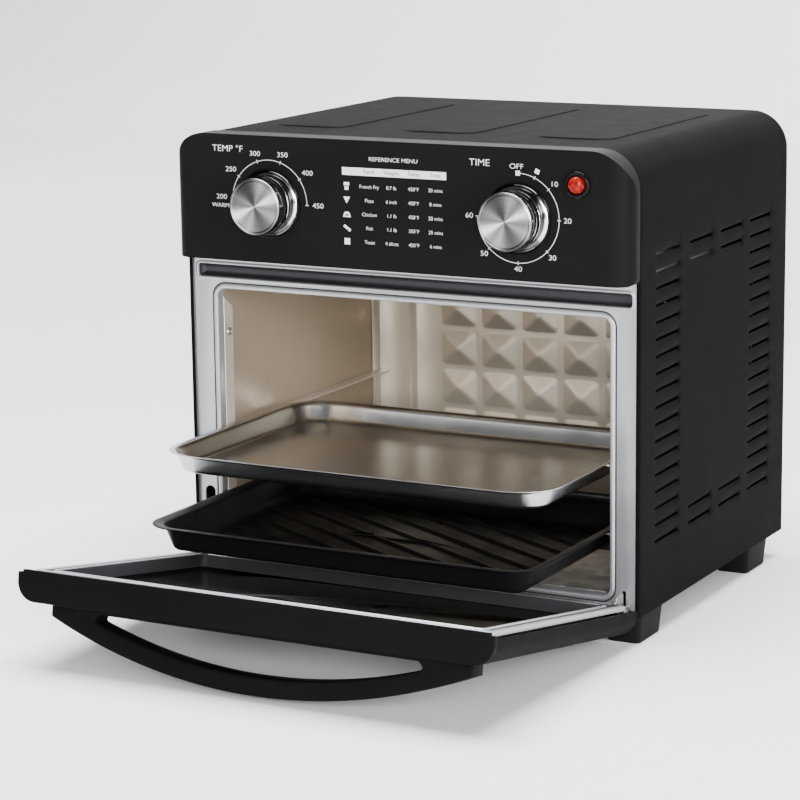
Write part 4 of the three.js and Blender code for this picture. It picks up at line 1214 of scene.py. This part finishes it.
def make_guide_screw(node, side):
    low, high = mm_box(node)
    _, y, z = middle(low, high)
    wall = high.x if side > 0 else low.x
    head = screw_head(f"{node}_head", 0, 0, 0, 3.1, 1)
    turn = Matrix.Translation((wall, y, z)) @ Matrix.Rotation(math.radians(90 * side), 4, "Z")
    moved(head, turn)
    fitted(head, "cabinet", "galvanised", HINGE_ZINC, node, smooth=40)


def make_heater(node):
    low, high = mm_box(node)
    _, y, z = middle(low, high)
    half = high.x
    profile = [(0.01, -half)]
    for radius, x in ((1.8, -half), (2.9, -half + 0.3), (3.15, -half + 1), (3.15, -150), (2.85, -149), (2.85, 149),
                      (3.15, 150), (3.15, half - 1), (2.9, half - 0.3), (1.8, half)):
        profile.append((radius, x))
    profile.append((0.01, half))
    rod = lathed(f"{node}_element", profile, 0, 0, 32)
    turn = Matrix.Translation((0, y, z)) @ Matrix.Rotation(math.radians(-90), 4, "Z")
    moved(rod, turn)
    fitted(rod, "cabinet", "dark_steel", HOT_STEEL, node, smooth=40)


# ---- door ----

DOOR_HALF = 179.5
DOOR_BOTTOM = 23.2
DOOR_TOP = 251
DOOR_INNER = -1.2
DOOR_OUTER = -22.8
DOOR_ROUND = 13.5
SHELL_EDGE = -5.4
CAP_HEIGHT = 5
SHELL_TOP = DOOR_TOP - CAP_HEIGHT - 0.4
SHELL_WALL = 2.4
GLASS_RECT = (-165, 38, 165, 236)
GLASS_FRONT = -15.4
GLASS_BACK = -11.5
RIM_OUTER = (-174, 26.2, 174, 242.6)
RIM_INNER = (-162, 42, 162, 232)
NOTCH = 8.5


def hinge_notches():
    tools = []
    for x0, x1 in ((-174.6, -162.5), (162.5, 174.6)):
        circle = [(HINGE_Y + NOTCH * math.cos(math.radians(a)), HINGE_Z + NOTCH * math.sin(math.radians(a)))
                  for a in range(0, 360, 10)]
        tools.append(extruded("notch", circle, x0, x1, "x"))
    return tools


def opened(obj):
    """Carries a piece drawn with the door shut to the open door."""
    return moved(obj, DOOR_TURN)


def in_painted_shade_band(place):
    """Whether a point of the door's rim, drawn shut, is off its two bright lips, on the band that takes the dark grey
    as painted shade.
    """
    inside = min(place.x - RIM_OUTER[0], RIM_OUTER[2] - place.x)
    up, down = place.z - RIM_OUTER[1], RIM_OUTER[3] - place.z
    share = min(inside / 12, up / (RIM_INNER[1] - RIM_OUTER[1]), down / (RIM_OUTER[3] - RIM_INNER[3]))
    return share > 0.36 and not (0.8 < share < 0.98 and place.y > -2.1)


def make_door():
    plan = rounded(-DOOR_HALF, DOOR_OUTER, DOOR_HALF, SHELL_EDGE, [DOOR_ROUND, DOOR_ROUND, 0.3, 0.3], 14)
    shell = extruded("door_shell", plan, DOOR_BOTTOM, SHELL_TOP, "z")
    inner = DOOR_HALF - SHELL_WALL
    bend = DOOR_ROUND - SHELL_WALL
    pocket = extruded("pocket", rounded(-inner, DOOR_OUTER + SHELL_WALL, inner, 5, [bend, bend, 0.2, 0.2], 8),
                      DOOR_BOTTOM + SHELL_WALL, SHELL_TOP - SHELL_WALL, "z")
    opening = extruded("opening", rounded(-150, 50, 150, 222, 8), -40, 5, "y")
    difference(shell, [pocket, opening, *hinge_notches()])
    softened(opened(shell), 0.9, 3, 40)
    fitted(shell, "door", "black_paint", DOOR_PAINT, "door_outer_frame", smooth=35)

    section = [(0.0, SHELL_EDGE + 0.6), (0.0, -2.2), (0.06, -1.6), (0.16, -1.25), (0.28, -1.3), (0.36, -1.9),
               (0.42, -2.5), (0.5, -2.6), (0.74, -2.6), (0.79, -2.3), (0.83, -1.5), (0.88, -1.22), (0.95, -1.35),
               (0.99, -2.0), (1.0, -3.2), (1.0, GLASS_BACK + 0.35), (0.9, GLASS_BACK + 0.35), (0.9, -4.0),
               (0.1, -4.0), (0.1, SHELL_EDGE + 0.6)]
    rings = []
    for t, y in section:
        rect = between(RIM_OUTER, RIM_INNER, t)
        rings.append([(x, y, z) for x, z in rounded(*rect, 5, 8)])
    rim = skinned("door_rim", rings, close_section=True)
    difference(rim, hinge_notches())
    opened(rim)
    fitted(rim, "door", "silver_paint", SILVER, "door_inner_frame")
    # Painted shade: the rim's band between its two lips takes the dark grey.
    rim.data.materials.append(PAINTED_SHADE_GREY)
    for face in rim.data.polygons:
        face.material_index = int(in_painted_shade_band((TO_ROW @ DOOR_TURN).inverted() @ face.center))
    smoothed(rim, 50)

    pane = flat_plate("door_pane", rounded(*GLASS_RECT, 6), [], GLASS_FRONT, GLASS_BACK, 0.5, "y", DOOR_TURN)
    fitted(pane, "door", "door_glass", GLASS, "door_glass")
    cap_round = DOOR_ROUND + 0.5
    outline = rounded(-HALF_WIDTH, DOOR_OUTER, HALF_WIDTH, DOOR_INNER, [cap_round, cap_round, 1, 1], 14)[:30]
    inside, step = HALF_WIDTH - LIP_WIDTH - 0.6, LIP_FRONT - 0.6  # stepped to shut between the casing's lips
    outline += [(HALF_WIDTH, step), (inside, step), (inside, DOOR_INNER)]
    outline += [(-inside, DOOR_INNER), (-inside, step), (-HALF_WIDTH, step)]
    cap = flat_plate("door_top_cap", outline, [], SHELL_TOP + 0.4, DOOR_TOP, 0.8, "z", DOOR_TURN)
    fitted(cap, "door", "gloss_black_plastic", TRIM_PLASTIC, "door_cap")
    make_handle()
    for side in ("left", "right"):
        refined(f"hinge_arm_{side}", "door", "galvanised", HINGE_ZINC, 0.2)
        refined(f"hinge_bracket_{side}", "cabinet", "galvanised", ZINC, 0.2)
        refined(f"hinge_pin_{side}", "cabinet", "dark_steel", HOT_STEEL, 0.3)


HANDLE_HALF = 160
HANDLE_RADIUS = 402
HANDLE_BAR = 13
HANDLE_FRONT = -65.6
HANDLE_BOTTOM = 221
HANDLE_TOP = 238
GRIP_HALF = 125  # the opening behind the bar


def handle_arc(radius, half, steps):
    centre = HANDLE_FRONT + HANDLE_RADIUS
    span = math.asin(half / radius)
    angles = [-span + 2 * span * n / steps for n in range(steps + 1)]
    return [(radius * math.sin(a), centre - radius * math.cos(a)) for a in angles]


def eased(points, index, reach, steps=6):
    """Rounds one corner of a closed outline, keeping reach of its sides clear."""
    before, corner, after = points[index - 1], points[index], points[(index + 1) % len(points)]
    start = between(corner, before, min(reach / math.dist(corner, before), 1))
    end = between(corner, after, min(reach / math.dist(corner, after), 1))
    curve = []
    for n in range(steps + 1):
        t = n / steps
        curve.append(between(between(start, corner, t), between(corner, end, t), t))
    return points[:index] + curve + points[index + 1:]


def make_handle():
    base = DOOR_OUTER - 0.3
    bow = handle_arc(HANDLE_RADIUS, HANDLE_HALF, 48) + [(HANDLE_HALF, base), (-HANDLE_HALF, base)]
    grip = handle_arc(HANDLE_RADIUS - HANDLE_BAR, GRIP_HALF, 40) + [(GRIP_HALF - 3, base - 4), (3 - GRIP_HALF, base - 4)]
    for corner in (42, 41, 40, 0):
        grip = eased(grip, corner, 2.4)
    handle = flat_plate("door_bow_handle", bow, [grip], HANDLE_BOTTOM, HANDLE_TOP, 1.8, "z", DOOR_TURN)
    fitted(handle, "door", "gloss_black_plastic", TRIM_PLASTIC, "door_handle")


SPRING_HOOK = (4, 63)  # y and z of its end at the lever
SPRING_ANCHOR = (108, 34)
SPRING_RADIUS = 3.4
SPRING_WIRE = 0.75


def make_spring():
    x = middle(*mm_box("door_spring"))[0]
    start, end = Vector((x, *SPRING_HOOK)), Vector((x, *SPRING_ANCHOR))
    turns, steps = 26, 16
    curve = bpy.data.curves.new("spring", "CURVE")
    curve.dimensions = "3D"
    spline = curve.splines.new("POLY")
    count = turns * steps
    spline.points.add(count)
    for n, point in enumerate(spline.points):
        a = 2 * math.pi * n / steps
        place = start.lerp(end, n / count) + Vector((math.cos(a), 0, math.sin(a))) * SPRING_RADIUS
        point.co = (*(TO_ROW @ place), 1)
    curve.bevel_depth = SPRING_WIRE * MM
    curve.bevel_resolution = 2
    curve.use_fill_caps = True
    coil = applied(linked("door_coil_spring", curve))
    fitted(coil, "cabinet", "dark_steel", HOT_STEEL, "door_spring", smooth=40)


# ---- trays ----


def tray_surface(name, rect, radius, section, relief, spacing):
    """A pressed tray as one sheet: nested outlines that share a point count, then the floor's relief."""
    steps = 10
    short = (rect[3] - rect[1]) / 2
    last = section[-1][0]
    inner = last + spacing
    levels = list(section)
    while inner < short - 3:
        levels.append((inner, section[-1][1]))
        inner += spacing
    across = round((rect[2] - rect[0]) / spacing / 1.2)
    along = round((rect[3] - rect[1]) / spacing / 1.2)
    rings = []
    for inset, z in levels:
        corners = rounded(*grown(rect, -inset), max(radius - inset, 0.5), steps)
        ring = []
        for side in range(4):
            arc = corners[side * (steps + 1):(side + 1) * (steps + 1)]
            following = corners[((side + 1) % 4) * (steps + 1)]
            count = along if side in (1, 3) else across
            ring += arc + [between(arc[-1], following, n / count) for n in range(1, count)]
        on_floor = inset >= last
        rings.append([(x, y, z + (relief(x, y, inset - last) if on_floor else 0)) for x, y in ring])
    return skinned(name, rings, cap_last=True)


def ribs(x, y, inset):
    """Slanting ribs on the pan's floor, fading out before its wall."""
    pitch, width, height = 21, 3.2, 1.5
    slant = math.radians(-30)
    across = -x * math.sin(slant) + y * math.cos(slant)
    away = abs((across + pitch / 2) % pitch - pitch / 2)
    return height * smooth_step((width - away) / 1.6) * smooth_step(inset / 5)


def make_trays():
    low, high = mm_box("baking_pan")
    top, floor = high.z, low.z
    pan = tray_surface("enamelled_pan", (low.x, low.y, high.x, high.y), 24, [
        (0.3, top - 0.75), (0.05, top - 0.5), (0.1, top - 0.2), (0.7, top), (2.4, top - 0.03),
        (4.4, top - 0.3), (6.0, top - 0.8), (7.6, top - 1.0), (8.6, top - 1.4), (9.6, top - 2.4),
        (10.4, top - 4.2), (14.4, floor + 5.4), (15.4, floor + 2.9), (17.2, floor + 1.5), (19.5, floor + 1.0),
    ], ribs, 1.9)
    thickened(pan, 0.9)
    fitted(pan, "lower_pan", "black_enamel", ENAMEL, "baking_pan", smooth=60)
    low, high = mm_box("steel_tray")
    top, floor = high.z, low.z
    tray = tray_surface("bright_tray", (low.x, low.y, high.x, high.y), 32, [
        (0.3, top - 0.7), (0.05, top - 0.45), (0.1, top - 0.15), (0.7, top), (2.2, top - 0.08),
        (3.4, top - 0.45), (4.6, top - 0.7), (5.5, top - 1.4), (6.2, top - 3.2),
        (9.2, floor + 3.6), (10.2, floor + 1.9), (11.8, floor + 1.0), (14, floor + 0.8),
    ], lambda x, y, inset: 0, 6)
    thickened(tray, 0.7)
    fitted(tray, "upper_tray", "polished_steel", TRAY_STEEL, "steel_tray", smooth=60)
    refined("crumb_tray", "crumb_drawer", "galvanised", ZINC, 0.4)


# ---- what is left as designed ----


def finish_hidden_parts():
    """Parts inside the casing keep their own shape, with their edges broken; the zinc ones take a zinc darkened as
    painted shade.
    """
    for node in ("fan_housing", "fan_motor", "thermostat", "timer_unit", "base_pan"):
        refined(node, "cabinet", "galvanised", SHADED_INNER_ZINC, 0.5)
    refined("cord_gland", "cabinet", "black_plastic", RUBBER, 0.4)
    refined("timer_bell", "cabinet", "chrome", CHROME, 0.3)
    refined("fan_wheel", "fan_rotor", "aluminium", FAN_ALUMINIUM, 0.25)
    refined("fan_shaft", "fan_rotor", "dark_steel", HOT_STEEL, 0.3)


make_casing()
make_back()
make_feet()
make_panel()
make_print()
for dial_name, dial_x, pointer_angle in (("temperature", TEMPERATURE_X, 41), ("timer", TIMER_X, 22.4)):
    make_dial(dial_name, dial_x, pointer_angle, spun_aluminium_painted_glints(f"spun_{dial_name}", dial_x, KNOB_Z))
make_lamp()
make_front_frame()
make_cavity()
make_door()
make_spring()
make_trays()
finish_hidden_parts()
